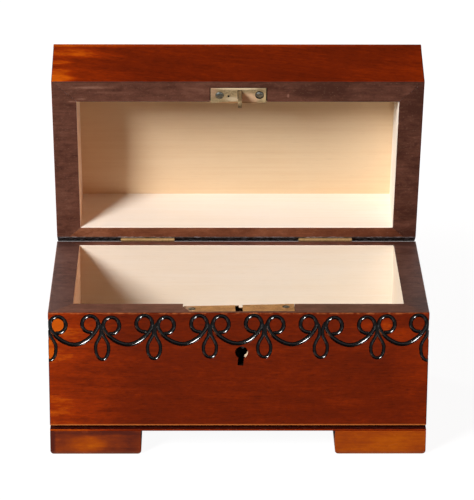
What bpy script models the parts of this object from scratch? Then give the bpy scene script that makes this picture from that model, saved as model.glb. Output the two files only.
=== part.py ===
# A small wooden keepsake box with a hinged lid, a mortised box lock and four corner feet.
# X runs along the front, Y to the back and Z up. The box stands on Z = 0 with its lid open on its stop,
# and the origin is under the middle of the open box.

import math

import bmesh
import bpy
from mathutils import Euler, Matrix, Vector
from mathutils.geometry import interpolate_bezier

# Box and lid
BOX_WIDTH = 0.200
BOX_DEPTH = 0.113
RIM_HEIGHT = 0.0812
LID_HEIGHT = 0.0356
WALL_THICKNESS = 0.013
FLOOR_BOARD_THICKNESS = 0.003
LID_BOARD_THICKNESS = 0.0045
LID_BOARD_ROUNDING = 0.0011
FLOOR_BOARD_ROUNDING = 0.0005

# Feet
FOOT_WIDTH = 0.047
FOOT_DEPTH = 0.040
FOOT_HEIGHT = 0.0134
FOOT_ROUNDING = 0.0015

# Clearances and the overrun of every cut
WOOD_GAP = 0.0003
METAL_GAP = 0.0001
RIM_GAP = 0.0003
OVERRUN = 0.002
MERGE_DISTANCE = 0.000005

# Hinges, in the groove between the chamfered back edges of box and lid
LID_OPEN_ANGLE = math.radians(72)
HINGE_INSET = 0.0047
HINGE_SPACING = 0.099
HINGE_LENGTH = 0.032
MIDDLE_KNUCKLE_LENGTH = 0.0139
BARREL_RADIUS = 0.001
HINGE_PIN_RADIUS = 0.00045
HINGE_PIN_END = 0.0003
LEAF_WIDTH = 0.0052
LEAF_THICKNESS = 0.0007
HINGE_SCREW_SPACING = 0.021
HINGE_SCREW_REACH = 0.0032
HINGE_SCREW_HEAD_RADIUS = 0.0012
HINGE_SCREW_HEAD_DEPTH = 0.0005
HINGE_SCREW_SHANK_RADIUS = 0.0006
HINGE_SCREW_LENGTH = 0.006

# Lock plate: the strip let into the rim, bent down over the inside of the front wall
LOCK_PLACE = 0.0003
LOCK_TILT = math.radians(0.6)
LOCK_SINK = 0.00035
LOCK_PLATE_LENGTH = 0.0583
LOCK_PLATE_HEIGHT = 0.034
LOCK_PLATE_THICKNESS = 0.0012
SELVAGE_WIDTH = 0.0095
HOOK_SLOT_WIDTH = 0.0037
HOOK_SLOT_FRONT_WALL = 0.0014
HOOK_SLOT_DROP = 0.003

# Lock case and what it holds
CASE_LENGTH = 0.036
CASE_HEIGHT = 0.0325
CASE_DEPTH = 0.0073
CASE_SHEET = 0.0006
BOLT_THROW = 0.0045
BOLT_THICKNESS = 0.0022
BOLT_BAR_LEFT = 0.0132
BOLT_BAR_RIGHT = 0.012
BOLT_BAR_HEIGHT = 0.004
BOLT_BAR_DROP = 0.0125
BOLT_ARM_WIDTH = 0.0038
BOLT_TONGUE_HEIGHT = 0.0024
BOLT_TONGUE_WITHDRAWN = 0.0008
TALON_WIDTH = 0.003
TALON_DEPTH = 0.0017
STUD_RADIUS = 0.0007
STUD_SHOULDER_RADIUS = 0.0016
STUD_PLACES = (-0.006, 0.0102)
SPRING_THICKNESS = 0.0005
SPRING_WIDTH = 0.002
SPRING_LENGTH = 0.0115
SPRING_LEG_HEIGHT = 0.0075
KEY_PIN_RADIUS = 0.0009
KEY_PIN_LENGTH = 0.0045

# Keyhole
KEYHOLE_PLACE = 0.0016
KEYHOLE_DROP = 0.0225
KEYHOLE_RADIUS = 0.0031
KEYHOLE_SLOT_WIDTH = 0.003
KEYHOLE_SLOT_DROP = 0.0299
KEYHOLE_SLANT = math.radians(-7)

# Lock screws
LOCK_SCREW_SPACING = 0.049
LOCK_SCREW_HEAD_RADIUS = 0.0017
LOCK_SCREW_HEAD_DEPTH = 0.0009
LOCK_SCREW_SHANK_RADIUS = 0.0008
LOCK_SCREW_LENGTH = 0.009
PLATE_SCREW_RISE = 0.0045

# Strike plate on the lid's rim, its hook and its screws
STRIKE_PLACE = 0.0003
STRIKE_LENGTH = 0.0299
STRIKE_WIDTH = 0.0097
STRIKE_THICKNESS = 0.0012
STRIKE_SCREW_SPACING = 0.0214
STRIKE_SCREW_HEAD_RADIUS = 0.0021
STRIKE_SCREW_HEAD_DEPTH = 0.001
STRIKE_SCREW_SHANK_RADIUS = 0.001
STRIKE_SCREW_LENGTH = 0.011
HOOK_WIDTH = 0.005
HOOK_LENGTH = 0.0096
HOOK_THICKNESS = 0.0023
HOOK_SETBACK = 0.0059
HOOK_EYE_WIDTH = 0.0033
HOOK_EYE_HEIGHT = 0.0034
HOOK_EYE_DROP = 0.0061
HOOK_TENON_WIDTH = 0.0026
HOOK_RIVET_WIDTH = 0.004
HOOK_RIVET_HEIGHT = 0.0008

# Burnt scroll border: places along a face are shares of its width, depths run down from the rim
FRONT_NODE_SHARES = (-0.361, -0.219, -0.0765, 0.0675, 0.2165, 0.363)
SIDE_NODE_SHARES = (-0.25, 0.0, 0.25)
CORNER_OVERHANG = 0.0005
SCROLL_GROOVE_RADIUS = 0.00105
DROP_GROOVE_RADIUS = 0.0008
GROOVE_LIFT = 0.00015
CURL_PLACE = 0.0053
CURL_DEPTH = 0.0069
CURL_RADIUS = 0.0041
CURL_START = math.radians(-84)
CURL_END = math.radians(195)
GARLAND_DEPTH = 0.0180
GARLAND_HANDLE_SHARE = 0.4
DROP_TOP = 0.0119
DROP_BOTTOM = 0.0262
DROP_NECK_WIDTH = 0.0018
DROP_NECK_DEPTH = 0.0165
DROP_BELLY_WIDTH = 0.0066
CURL_STEPS = 9
GARLAND_STEPS = 7
DROP_STEPS = 7

# Facets and angles
SCREW_SIDES = 12
ROD_SIDES = 16
KEYHOLE_SIDES = 16
ROUNDING_STEPS = 2
RIGHT_ANGLE = math.radians(90)
HALF_TURN = math.radians(180)
ROD_ALONG_X = (0, RIGHT_ANGLE, 0)
ROD_ALONG_Y = (RIGHT_ANGLE, 0, 0)
OUTLINE_IN_XZ = (RIGHT_ANGLE, 0, 0)
OUTLINE_IN_YZ = (RIGHT_ANGLE, 0, RIGHT_ANGLE)

# Colours as linear red, green and blue, then roughness and metallic value
LACQUERED_WOOD = ((0.180, 0.028, 0.010), 0.25, 0.0)
FOOT_WOOD = ((0.300, 0.075, 0.015), 0.28, 0.0)
BRASS = ((0.560, 0.400, 0.160), 0.38, 1.0)
STEEL = ((0.330, 0.330, 0.340), 0.42, 1.0)
SPRING_STEEL = ((0.120, 0.120, 0.135), 0.35, 1.0)

# The hinge line, and the ground plan centred under box and open lid together
CHAMFER_ANGLE = LID_OPEN_ANGLE / 2
HINGE_DEPTH = BOX_DEPTH - HINGE_INSET
LID_CORNER_RELIEF = LID_BOARD_ROUNDING * (math.sin(LID_OPEN_ANGLE) + math.cos(LID_OPEN_ANGLE) - 1)
LID_REACH = (
    HINGE_INSET * math.cos(LID_OPEN_ANGLE)
    + (RIM_GAP / 2 + LID_HEIGHT) * math.sin(LID_OPEN_ANGLE)
    - LID_CORNER_RELIEF
)
FRONT_Y = -(HINGE_DEPTH + LID_REACH) / 2
HINGE_Y = FRONT_Y + HINGE_DEPTH
HINGE_Z = RIM_HEIGHT + RIM_GAP / 2
MIDDLE_Y = FRONT_Y + BOX_DEPTH / 2
SIDE_X = BOX_WIDTH / 2

# Levels of the box, and of the lid above its own rim
FLOOR_BOARD_LOW = FOOT_HEIGHT + WOOD_GAP
WALL_LOW = FLOOR_BOARD_LOW + FLOOR_BOARD_THICKNESS + WOOD_GAP
WALL_HEIGHT = RIM_HEIGHT - WALL_LOW
LID_WALL_HEIGHT = LID_HEIGHT - LID_BOARD_THICKNESS - WOOD_GAP
LID_RIM_Z = RIM_GAP / 2
MITRE_STEP = WOOD_GAP / math.sqrt(2)

# Hinge leaves lie on the chamfers, which clear the barrel
CHAMFER_OFFSET = BARREL_RADIUS + METAL_GAP
LEAF_FACE = CHAMFER_OFFSET - WOOD_GAP - LEAF_THICKNESS
BORE_RADIUS = HINGE_PIN_RADIUS + METAL_GAP
HINGE_PLACES = {"left": -HINGE_SPACING / 2, "right": HINGE_SPACING / 2}

# Depths through the front wall, measured inwards from its outer face
PLATE_INNER = WALL_THICKNESS - LOCK_PLATE_THICKNESS
CASE_BACK = PLATE_INNER - METAL_GAP
CASE_FRONT = CASE_BACK - CASE_DEPTH
CASE_INNER_FRONT = CASE_FRONT + CASE_SHEET
SELVAGE_FRONT = WALL_THICKNESS - SELVAGE_WIDTH
STRIKE_FRONT = WALL_THICKNESS - STRIKE_WIDTH
HOOK_MIDDLE = HOOK_SETBACK + HOOK_WIDTH / 2
SELVAGE_UNDER = -LOCK_SINK - LOCK_PLATE_THICKNESS
CASE_TOP = SELVAGE_UNDER - METAL_GAP
CASE_LOW = -CASE_HEIGHT
BOLT_CENTRE_Z = -HOOK_EYE_DROP
TONGUE_TIP = -HOOK_THICKNESS / 2 - BOLT_TONGUE_WITHDRAWN
BOLT_ARM_RIGHT = -HOOK_THICKNESS / 2 - BOLT_THROW - WOOD_GAP
BOLT_ARM_LEFT = BOLT_ARM_RIGHT - BOLT_ARM_WIDTH

for old in list(bpy.data.objects):
    bpy.data.objects.remove(old, do_unlink=True)

parts = bpy.data.collections.new("keepsake_box")
cutters = bpy.data.collections.new("keepsake_box_cutters")
for collection in (parts, cutters):
    bpy.context.scene.collection.children.link(collection)


def put(obj, home, frame=None, spot=(0, 0, 0), turn=(0, 0, 0)):
    """Link an object into its collection and place it in its frame."""
    home.objects.link(obj)
    obj.parent = frame
    obj.location = spot
    obj.rotation_euler = turn
    if home is cutters:
        obj.hide_render = True
        obj.display_type = "WIRE"
    return obj


def make_frame(name, spot, turn=(0, 0, 0), frame=None):
    """An empty that carries pieces sharing one place, slope or axis."""
    return put(bpy.data.objects.new(name, None), cutters, frame, spot, turn)


def finish(obj, look):
    """Give an object its own material."""
    colour, roughness, metallic = look
    material = bpy.data.materials.new(obj.name)
    material.use_nodes = True
    shader = material.node_tree.nodes["Principled BSDF"]
    shader.inputs["Base Color"].default_value = (*colour, 1)
    shader.inputs["Roughness"].default_value = roughness
    shader.inputs["Metallic"].default_value = metallic
    obj.data.materials.clear()
    obj.data.materials.append(material)
    return obj


def make_block(name, low, high, home, frame=None):
    """A rectangular block between two opposite corners, given in its frame."""
    mesh = bpy.data.meshes.new(name)
    shape = bmesh.new()
    bmesh.ops.create_cube(shape, size=1)
    bmesh.ops.scale(shape, vec=[b - a for a, b in zip(low, high)], verts=shape.verts)
    shape.to_mesh(mesh)
    shape.free()
    centre = [(a + b) / 2 for a, b in zip(low, high)]
    return put(bpy.data.objects.new(name, mesh), home, frame, centre)


def make_rod(name, radius, length, home, frame, spot, turn, sides=ROD_SIDES):
    """A round rod about its own middle, turned to lie along its axis."""
    mesh = bpy.data.meshes.new(name)
    shape = bmesh.new()
    bmesh.ops.create_cone(
        shape, cap_ends=True, segments=sides, radius1=radius, radius2=radius, depth=length
    )
    shape.to_mesh(mesh)
    shape.free()
    mesh.shade_smooth()
    mesh.set_sharp_from_angle(angle=CHAMFER_ANGLE)
    return put(bpy.data.objects.new(name, mesh), home, frame, spot, turn)


def solid_from_curve(guide, name, home):
    """Turn a curve into a closed mesh object in the same place, and remove the curve."""
    bpy.context.view_layer.update()
    graph = bpy.context.evaluated_depsgraph_get()
    mesh = bpy.data.meshes.new_from_object(guide.evaluated_get(graph))
    mesh.name = name
    shape = bmesh.new()
    shape.from_mesh(mesh)
    bmesh.ops.remove_doubles(shape, verts=shape.verts, dist=MERGE_DISTANCE)
    shape.to_mesh(mesh)
    shape.free()
    solid = put(bpy.data.objects.new(name, mesh), home, guide.parent)
    solid.matrix_world = guide.matrix_world.copy()
    bpy.data.objects.remove(guide, do_unlink=True)
    return solid


def make_plate(name, outlines, thickness, home, frame, spot, turn=(0, 0, 0)):
    """A flat outline, with any inner outlines as holes, given its thickness both ways."""
    curve = bpy.data.curves.new(name + "_outline", "CURVE")
    curve.dimensions = "2D"
    curve.fill_mode = "BOTH"
    curve.extrude = thickness / 2
    for outline in outlines:
        spline = curve.splines.new("POLY")
        spline.points.add(len(outline) - 1)
        for point, (across, up) in zip(spline.points, outline):
            point.co = (across, up, 0, 1)
        spline.use_cyclic_u = True
    guide = put(bpy.data.objects.new(name + "_outline", curve), home, frame, spot, turn)
    return solid_from_curve(guide, name, home)


def turn_profile(profile):
    """The closed mesh of a profile turned about Z, listed from its top down its outer side."""
    mesh = bpy.data.meshes.new("profile")
    links = [(i, i + 1) for i in range(len(profile) - 1)]
    mesh.from_pydata([(radius, 0, height) for radius, height in profile], links, [])
    guide = put(bpy.data.objects.new("profile", mesh), cutters)
    turning = guide.modifiers.new("turning", "SCREW")
    turning.steps = SCREW_SIDES
    turning.render_steps = SCREW_SIDES
    turning.use_merge_vertices = True
    turning.merge_threshold = MERGE_DISTANCE
    bpy.context.view_layer.update()
    graph = bpy.context.evaluated_depsgraph_get()
    solid = bpy.data.meshes.new_from_object(guide.evaluated_get(graph))
    bpy.data.objects.remove(guide, do_unlink=True)
    solid.shade_smooth()
    solid.set_sharp_from_angle(angle=CHAMFER_ANGLE)
    return solid


def make_copies(template, places, look, frame):
    """Pieces alike in shape, each a named object of its own."""
    for name, (spot, turn) in places.items():
        copy = put(bpy.data.objects.new(name, template), parts, frame, spot, turn)
        if not template.materials:
            finish(copy, look)


def make_hole_cutter(name, template, places, frame):
    """One cutter for the holes of a whole set of screws."""
    mesh = bpy.data.meshes.new(name)
    shape = bmesh.new()
    for spot, turn in places.values():
        copy = template.copy()
        copy.transform(Matrix.Translation(spot) @ Euler(turn).to_matrix().to_4x4())
        shape.from_mesh(copy)
        bpy.data.meshes.remove(copy)
    shape.to_mesh(mesh)
    shape.free()
    return put(bpy.data.objects.new(name, mesh), cutters, frame)


def screw_profile(head_radius, head_depth, shank_radius, length):
    """A countersunk screw with its head's face at zero height and its point below."""
    shank_end = length - 2 * shank_radius
    return [
        (0, 0),
        (head_radius, 0),
        (shank_radius, -head_depth),
        (shank_radius, -shank_end),
        (0, -length),
    ]


def screw_hole_profile(head_radius, head_depth, shank_radius, length):
    """The hole of the same screw, open above its head and clear of it all round."""
    return [
        (0, OVERRUN),
        (head_radius + METAL_GAP, OVERRUN),
        (head_radius + METAL_GAP, 0),
        (shank_radius + METAL_GAP, -head_depth),
        (shank_radius + METAL_GAP, -length),
        (0, -length - WOOD_GAP),
    ]


def make_screws(name, size, places, frame):
    """A set of like screws, and the cutter of all their holes."""
    make_copies(turn_profile(screw_profile(*size)), places, STEEL, frame)
    return make_hole_cutter(name + "_holes", turn_profile(screw_hole_profile(*size)), places, frame)


def boolean(obj, operation, *others):
    """Join or cut an object with each of the others in turn."""
    for other in others:
        step = obj.modifiers.new(other.name, "BOOLEAN")
        step.operation = operation
        step.solver = "EXACT"
        step.object = other
    return obj


def cut(obj, *others):
    return boolean(obj, "DIFFERENCE", *others)


def round_edges(obj, width):
    """Small even rounding on every edge of a block."""
    bevel = obj.modifiers.new("rounding", "BEVEL")
    bevel.width = width
    bevel.segments = ROUNDING_STEPS
    bevel.limit_method = "ANGLE"
    return obj


def arc_points(centre, radius, start, end, steps):
    """Points along a circular arc, both ends included."""
    points = []
    for step in range(steps + 1):
        angle = start + (end - start) * step / steps
        points.append((centre[0] + radius * math.cos(angle), centre[1] + radius * math.sin(angle)))
    return points


def scroll_points(left, right):
    """One scroll between two nodes: a curl, the hanging garland and the curl at its other end."""
    half = arc_points((left + CURL_PLACE, -CURL_DEPTH), CURL_RADIUS, CURL_START, CURL_END, CURL_STEPS)
    middle = (left + right) / 2
    handle = (middle - left) * GARLAND_HANDLE_SHARE
    start = Vector(half[-1])
    low = Vector((middle, -GARLAND_DEPTH))
    heading = Vector((-math.sin(CURL_END), math.cos(CURL_END)))
    garland = interpolate_bezier(
        start, start + heading * handle, low - Vector((handle, 0)), low, GARLAND_STEPS
    )
    half += [(point.x, point.y) for point in garland[1:]]
    mirrored = [(2 * middle - across, up) for across, up in reversed(half[:-1])]
    return half + mirrored


def drop_points(node):
    """The teardrop loop that hangs from a node."""
    top = Vector((0, -DROP_TOP))
    neck = Vector((DROP_NECK_WIDTH, -DROP_NECK_DEPTH))
    belly = Vector((DROP_BELLY_WIDTH, -DROP_BOTTOM))
    bottom = Vector((0, -DROP_BOTTOM))
    side = [(point.x, point.y) for point in interpolate_bezier(top, neck, belly, bottom, DROP_STEPS)]
    other = [(-across, up) for across, up in reversed(side[1:-1])]
    return [(node + across, up) for across, up in side + other]


def make_groove_cutter(name, lines, radius, closed, frame):
    """Round strokes laid along a face, which leave a groove where they dip into it."""
    curve = bpy.data.curves.new(name + "_lines", "CURVE")
    curve.dimensions = "2D"
    curve.fill_mode = "NONE"
    curve.bevel_depth = radius
    curve.bevel_resolution = 0
    curve.use_fill_caps = True
    for line in lines:
        spline = curve.splines.new("POLY")
        spline.points.add(len(line) - 1)
        for point, (across, up) in zip(spline.points, line):
            point.co = (across, up, 0, 1)
        spline.use_cyclic_u = closed
    spot = (0, -GROOVE_LIFT, 0)
    guide = put(bpy.data.objects.new(name + "_lines", curve), cutters, frame, spot, OUTLINE_IN_XZ)
    return solid_from_curve(guide, name, cutters)


def carve_border(wall, length, node_shares, frame):
    """The scroll border along the top of one face, running out over its corners."""
    corner = length / 2 + CORNER_OVERHANG
    nodes = [-corner] + [share * length for share in node_shares] + [corner]
    scrolls = [scroll_points(left, right) for left, right in zip(nodes, nodes[1:])]
    drops = [drop_points(node) for node in nodes]
    cut(
        wall,
        make_groove_cutter(wall.name + "_scrolls", scrolls, SCROLL_GROOVE_RADIUS, False, frame),
        make_groove_cutter(wall.name + "_drops", drops, DROP_GROOVE_RADIUS, True, frame),
    )


def make_wall(name, length, height, frame):
    """A mitred wall standing on its frame, with its outer face at Y = 0 and its inside towards +Y."""
    outer = length / 2 - MITRE_STEP
    inner = outer - WALL_THICKNESS
    outline = [(-outer, 0), (outer, 0), (inner, WALL_THICKNESS), (-inner, WALL_THICKNESS)]
    wall = make_plate(name, [outline], height, parts, frame, (0, 0, height / 2))
    return finish(wall, LACQUERED_WOOD)


def make_walls(prefix, low, height, middle_y, frame):
    """The four walls of the box or of the lid, each in a frame on its outer face."""
    half_depth = BOX_DEPTH / 2
    settings = {
        "front": ((0, middle_y - half_depth, low), 0, BOX_WIDTH),
        "right": ((SIDE_X, middle_y, low), RIGHT_ANGLE, BOX_DEPTH),
        "back": ((0, middle_y + half_depth, low), HALF_TURN, BOX_WIDTH),
        "left": ((-SIDE_X, middle_y, low), -RIGHT_ANGLE, BOX_DEPTH),
    }
    walls = {}
    for side, (spot, heading, length) in settings.items():
        name = f"{prefix}{side}_panel"
        wall_frame = make_frame(name + "_frame", spot, (0, 0, heading), frame)
        walls[side] = make_wall(name, length, height, wall_frame)
    return walls


def make_chamfer_cutter(name, side, frame):
    """What is planed off a back edge, in a frame that slopes with the chamfer."""
    faces = sorted((side * CHAMFER_OFFSET, -side * HINGE_INSET))
    low = (-SIDE_X - OVERRUN, -OVERRUN, faces[0])
    high = (SIDE_X + OVERRUN, HINGE_INSET / math.cos(CHAMFER_ANGLE) + OVERRUN, faces[1])
    return make_block(name, low, high, cutters, frame)


def make_leaf(name, place, side, frame, holes):
    """One hinge leaf with its knuckles: the box's leaf has the end ones and the lid's the middle one."""
    half = HINGE_LENGTH / 2
    faces = sorted((side * LEAF_FACE, side * (LEAF_FACE + LEAF_THICKNESS)))
    leaf = make_block(name, (place - half, 0, faces[0]), (place + half, LEAF_WIDTH, faces[1]), parts, frame)
    spot = (place, 0, 0)
    barrel = make_rod(name + "_barrel", BARREL_RADIUS, HINGE_LENGTH, cutters, frame, spot, ROD_ALONG_X)
    bore_length = HINGE_LENGTH + 2 * OVERRUN
    bore = make_rod(name + "_bore", BORE_RADIUS, bore_length, cutters, frame, spot, ROD_ALONG_X)
    middle_half = MIDDLE_KNUCKLE_LENGTH / 2
    if side < 0:
        gaps = [(-middle_half - METAL_GAP, middle_half + METAL_GAP)]
    else:
        gaps = [(-half - OVERRUN, -middle_half), (middle_half, half + OVERRUN)]
    boolean(leaf, "UNION", barrel)
    for number, (start, end) in enumerate(gaps):
        spot = (place + (start + end) / 2, 0, 0)
        tool_name = f"{name}_knuckle_gap_{number}"
        gap = make_rod(tool_name, CHAMFER_OFFSET, end - start, cutters, frame, spot, ROD_ALONG_X)
        cut(leaf, gap)
    cut(leaf, bore, holes)
    return finish(leaf, BRASS)


def make_hinges(walls, lid_walls, lid_axis):
    """Two butt hinges with their pins and screws, and the chamfers that they lie on."""
    axis_spot = (0, HINGE_Y, HINGE_Z)
    box_slope = make_frame("box_slope", axis_spot, (-CHAMFER_ANGLE, 0, 0))
    lid_slope = make_frame("lid_slope", (0, 0, 0), (CHAMFER_ANGLE, 0, 0), lid_axis)
    slopes = {"body": (-1, box_slope, walls), "lid": (1, lid_slope, lid_walls)}
    size = (
        HINGE_SCREW_HEAD_RADIUS, HINGE_SCREW_HEAD_DEPTH, HINGE_SCREW_SHANK_RADIUS, HINGE_SCREW_LENGTH,
    )
    for part, (side, slope, sloped_walls) in slopes.items():
        screw_turn = (0, 0, 0) if side < 0 else (HALF_TURN, 0, 0)
        places = {}
        for hand, centre in HINGE_PLACES.items():
            for end, across in (("left", -HINGE_SCREW_SPACING / 2), ("right", HINGE_SCREW_SPACING / 2)):
                spot = (centre + across, HINGE_SCREW_REACH, side * LEAF_FACE)
                places[f"hinge_{hand}_{part}_screw_{end}"] = (spot, screw_turn)
        holes = make_screws(f"hinge_{part}_screws", size, places, slope)
        chamfer = make_chamfer_cutter(f"{part}_chamfer", side, slope)
        for wall_side in ("back", "left", "right"):
            cut(sloped_walls[wall_side], chamfer)
        cut(sloped_walls["back"], holes)
        for hand, place in HINGE_PLACES.items():
            make_leaf(f"hinge_{hand}_{part}_leaf", place, side, slope, holes)
    pin_length = HINGE_LENGTH + 2 * HINGE_PIN_END
    for hand, place in HINGE_PLACES.items():
        spot = (place, HINGE_Y, HINGE_Z)
        name = f"hinge_{hand}_pin"
        finish(make_rod(name, HINGE_PIN_RADIUS, pin_length, parts, None, spot, ROD_ALONG_X), BRASS)


def make_feet():
    """Four corner blocks, flush with the outside of the box."""
    for row, row_side in (("front", -1), ("back", 1)):
        for hand, hand_side in (("left", -1), ("right", 1)):
            corner = (hand_side * SIDE_X, MIDDLE_Y + row_side * BOX_DEPTH / 2)
            inner = (corner[0] - hand_side * FOOT_WIDTH, corner[1] - row_side * FOOT_DEPTH)
            low = (min(corner[0], inner[0]), min(corner[1], inner[1]), 0)
            high = (max(corner[0], inner[0]), max(corner[1], inner[1]), FOOT_HEIGHT)
            foot = make_block(f"foot_{row}_{hand}", low, high, parts)
            round_edges(finish(foot, FOOT_WOOD), FOOT_ROUNDING)


def make_floor_board():
    low = (-SIDE_X, FRONT_Y, FLOOR_BOARD_LOW)
    high = (SIDE_X, FRONT_Y + BOX_DEPTH, FLOOR_BOARD_LOW + FLOOR_BOARD_THICKNESS)
    board = make_block("bottom_board", low, high, parts)
    round_edges(finish(board, LACQUERED_WOOD), FLOOR_BOARD_ROUNDING)


def make_lid_board(lid_axis):
    front = FRONT_Y - HINGE_Y
    top = LID_RIM_Z + LID_HEIGHT
    low = (-SIDE_X, front, top - LID_BOARD_THICKNESS)
    board = make_block("lid_top_board", low, (SIDE_X, front + BOX_DEPTH, top), parts, lid_axis)
    round_edges(finish(board, LACQUERED_WOOD), LID_BOARD_ROUNDING)


def keyhole_outline():
    """A round hole with a slot hanging from it, leaning a little to the left."""
    half_slot = KEYHOLE_SLOT_WIDTH / 2
    neck = math.asin(half_slot / KEYHOLE_RADIUS)
    outline = arc_points((0, 0), KEYHOLE_RADIUS, neck - RIGHT_ANGLE, 3 * RIGHT_ANGLE - neck, KEYHOLE_SIDES)
    foot = KEYHOLE_DROP - KEYHOLE_SLOT_DROP
    lean = -foot * math.tan(KEYHOLE_SLANT)
    return outline + [(lean - half_slot, foot), (lean + half_slot, foot)]


def make_keyhole_cutter(frame):
    """The keyhole through the wood and through the front of the lock's case."""
    low = -OVERRUN
    depth = CASE_INNER_FRONT + OVERRUN - low
    spot = (KEYHOLE_PLACE, low + depth / 2, -KEYHOLE_DROP)
    return make_plate("keyhole", [keyhole_outline()], depth, cutters, frame, spot, OUTLINE_IN_XZ)


def make_lock_plate(frame, holes):
    """The selvage on the rim and the plate down the inside, bent from one strip."""
    top = -LOCK_SINK
    foot = top - LOCK_PLATE_HEIGHT
    section = [
        (SELVAGE_FRONT, top),
        (SELVAGE_FRONT, SELVAGE_UNDER),
        (PLATE_INNER, SELVAGE_UNDER),
        (PLATE_INNER, foot),
        (WALL_THICKNESS, foot),
        (WALL_THICKNESS, top),
    ]
    plate = make_plate("lock_plate", [section], LOCK_PLATE_LENGTH, parts, frame, (0, 0, 0), OUTLINE_IN_YZ)
    half = HOOK_SLOT_WIDTH / 2
    low = (-half, SELVAGE_FRONT + HOOK_SLOT_FRONT_WALL, top - HOOK_SLOT_DROP)
    slot = make_block("hook_slot", low, (half, WALL_THICKNESS + OVERRUN, OVERRUN), cutters, frame)
    return finish(cut(plate, slot, holes), BRASS)


def make_case(frame, keyhole):
    """A shallow tray of thin sheet, closed by the lock plate behind it and above it."""
    half = CASE_LENGTH / 2
    inner_half = half - CASE_SHEET
    case = make_block("lock_case", (-half, CASE_FRONT, CASE_LOW), (half, CASE_BACK, CASE_TOP), parts, frame)
    low = (-inner_half, CASE_INNER_FRONT, CASE_LOW + CASE_SHEET)
    high = (inner_half, CASE_BACK + OVERRUN, CASE_TOP + OVERRUN)
    hollow = make_block("case_hollow", low, high, cutters, frame)
    return finish(cut(case, hollow, keyhole), BRASS)


def make_bolt(frame):
    """The bolt's bar slides on two studs, and its tongue reaches through the hook's eye."""
    top = BOLT_CENTRE_Z + BOLT_TONGUE_HEIGHT / 2
    tongue_low = top - BOLT_TONGUE_HEIGHT
    bar_top = -BOLT_BAR_DROP
    bar_low = bar_top - BOLT_BAR_HEIGHT
    talon_left = KEYHOLE_PLACE - TALON_WIDTH / 2
    talon_right = KEYHOLE_PLACE + TALON_WIDTH / 2
    outline = [
        (-BOLT_BAR_LEFT, bar_low),
        (talon_left, bar_low),
        (talon_left, bar_low + TALON_DEPTH),
        (talon_right, bar_low + TALON_DEPTH),
        (talon_right, bar_low),
        (BOLT_BAR_RIGHT, bar_low),
        (BOLT_BAR_RIGHT, bar_top),
        (BOLT_ARM_RIGHT, bar_top),
        (BOLT_ARM_RIGHT, tongue_low),
        (TONGUE_TIP, tongue_low),
        (TONGUE_TIP, top),
        (BOLT_ARM_LEFT, top),
        (BOLT_ARM_LEFT, bar_top),
        (-BOLT_BAR_LEFT, bar_top),
    ]
    reach = STUD_RADIUS + METAL_GAP
    stud_z = (bar_low + bar_top) / 2
    low, high = stud_z - reach, stud_z + reach
    slots = []
    for place in STUD_PLACES:
        left, right = place - BOLT_THROW - reach, place + reach
        slots.append([(left, low), (right, low), (right, high), (left, high)])
    spot = (0, HOOK_MIDDLE, 0)
    bolt = make_plate("lock_bolt", [outline] + slots, BOLT_THICKNESS, parts, frame, spot, OUTLINE_IN_XZ)
    return finish(bolt, BRASS)


def make_studs(frame):
    """Shouldered studs on the lock plate that guide the bolt."""
    back = PLATE_INNER - METAL_GAP
    shoulder = HOOK_MIDDLE + BOLT_THICKNESS / 2 + METAL_GAP
    front = HOOK_MIDDLE - BOLT_THICKNESS / 2 - METAL_GAP
    template = turn_profile([
        (0, 0),
        (STUD_RADIUS, 0),
        (STUD_RADIUS, front - shoulder),
        (STUD_SHOULDER_RADIUS, front - shoulder),
        (STUD_SHOULDER_RADIUS, front - back),
        (0, front - back),
    ])
    stud_z = -BOLT_BAR_DROP - BOLT_BAR_HEIGHT / 2
    places = {}
    for end, place in zip(("left", "right"), STUD_PLACES):
        places[f"lock_guide_stud_{end}"] = ((place, front, stud_z), ROD_ALONG_Y)
    make_copies(template, places, BRASS, frame)


def make_spring(frame):
    """A bent strip standing by the case's end, whose long leg bears on the bolt's bar."""
    right = CASE_LENGTH / 2 - CASE_SHEET - METAL_GAP
    low = -BOLT_BAR_DROP + METAL_GAP
    outline = [
        (right, low),
        (right, low + SPRING_LEG_HEIGHT),
        (right - SPRING_THICKNESS, low + SPRING_LEG_HEIGHT),
        (right - SPRING_THICKNESS, low + SPRING_THICKNESS),
        (right - SPRING_LENGTH, low + SPRING_THICKNESS),
        (right - SPRING_LENGTH, low),
    ]
    spot = (0, HOOK_MIDDLE, 0)
    spring = make_plate("lock_spring", [outline], SPRING_WIDTH, parts, frame, spot, OUTLINE_IN_XZ)
    return finish(spring, SPRING_STEEL)


def make_key_pin(frame):
    """The pin behind the keyhole, which a hollow key slips over."""
    back = PLATE_INNER - METAL_GAP
    spot = (KEYHOLE_PLACE, back - KEY_PIN_LENGTH / 2, -KEYHOLE_DROP)
    pin = make_rod("lock_key_pin", KEY_PIN_RADIUS, KEY_PIN_LENGTH, parts, frame, spot, ROD_ALONG_Y)
    return finish(pin, STEEL)


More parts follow.
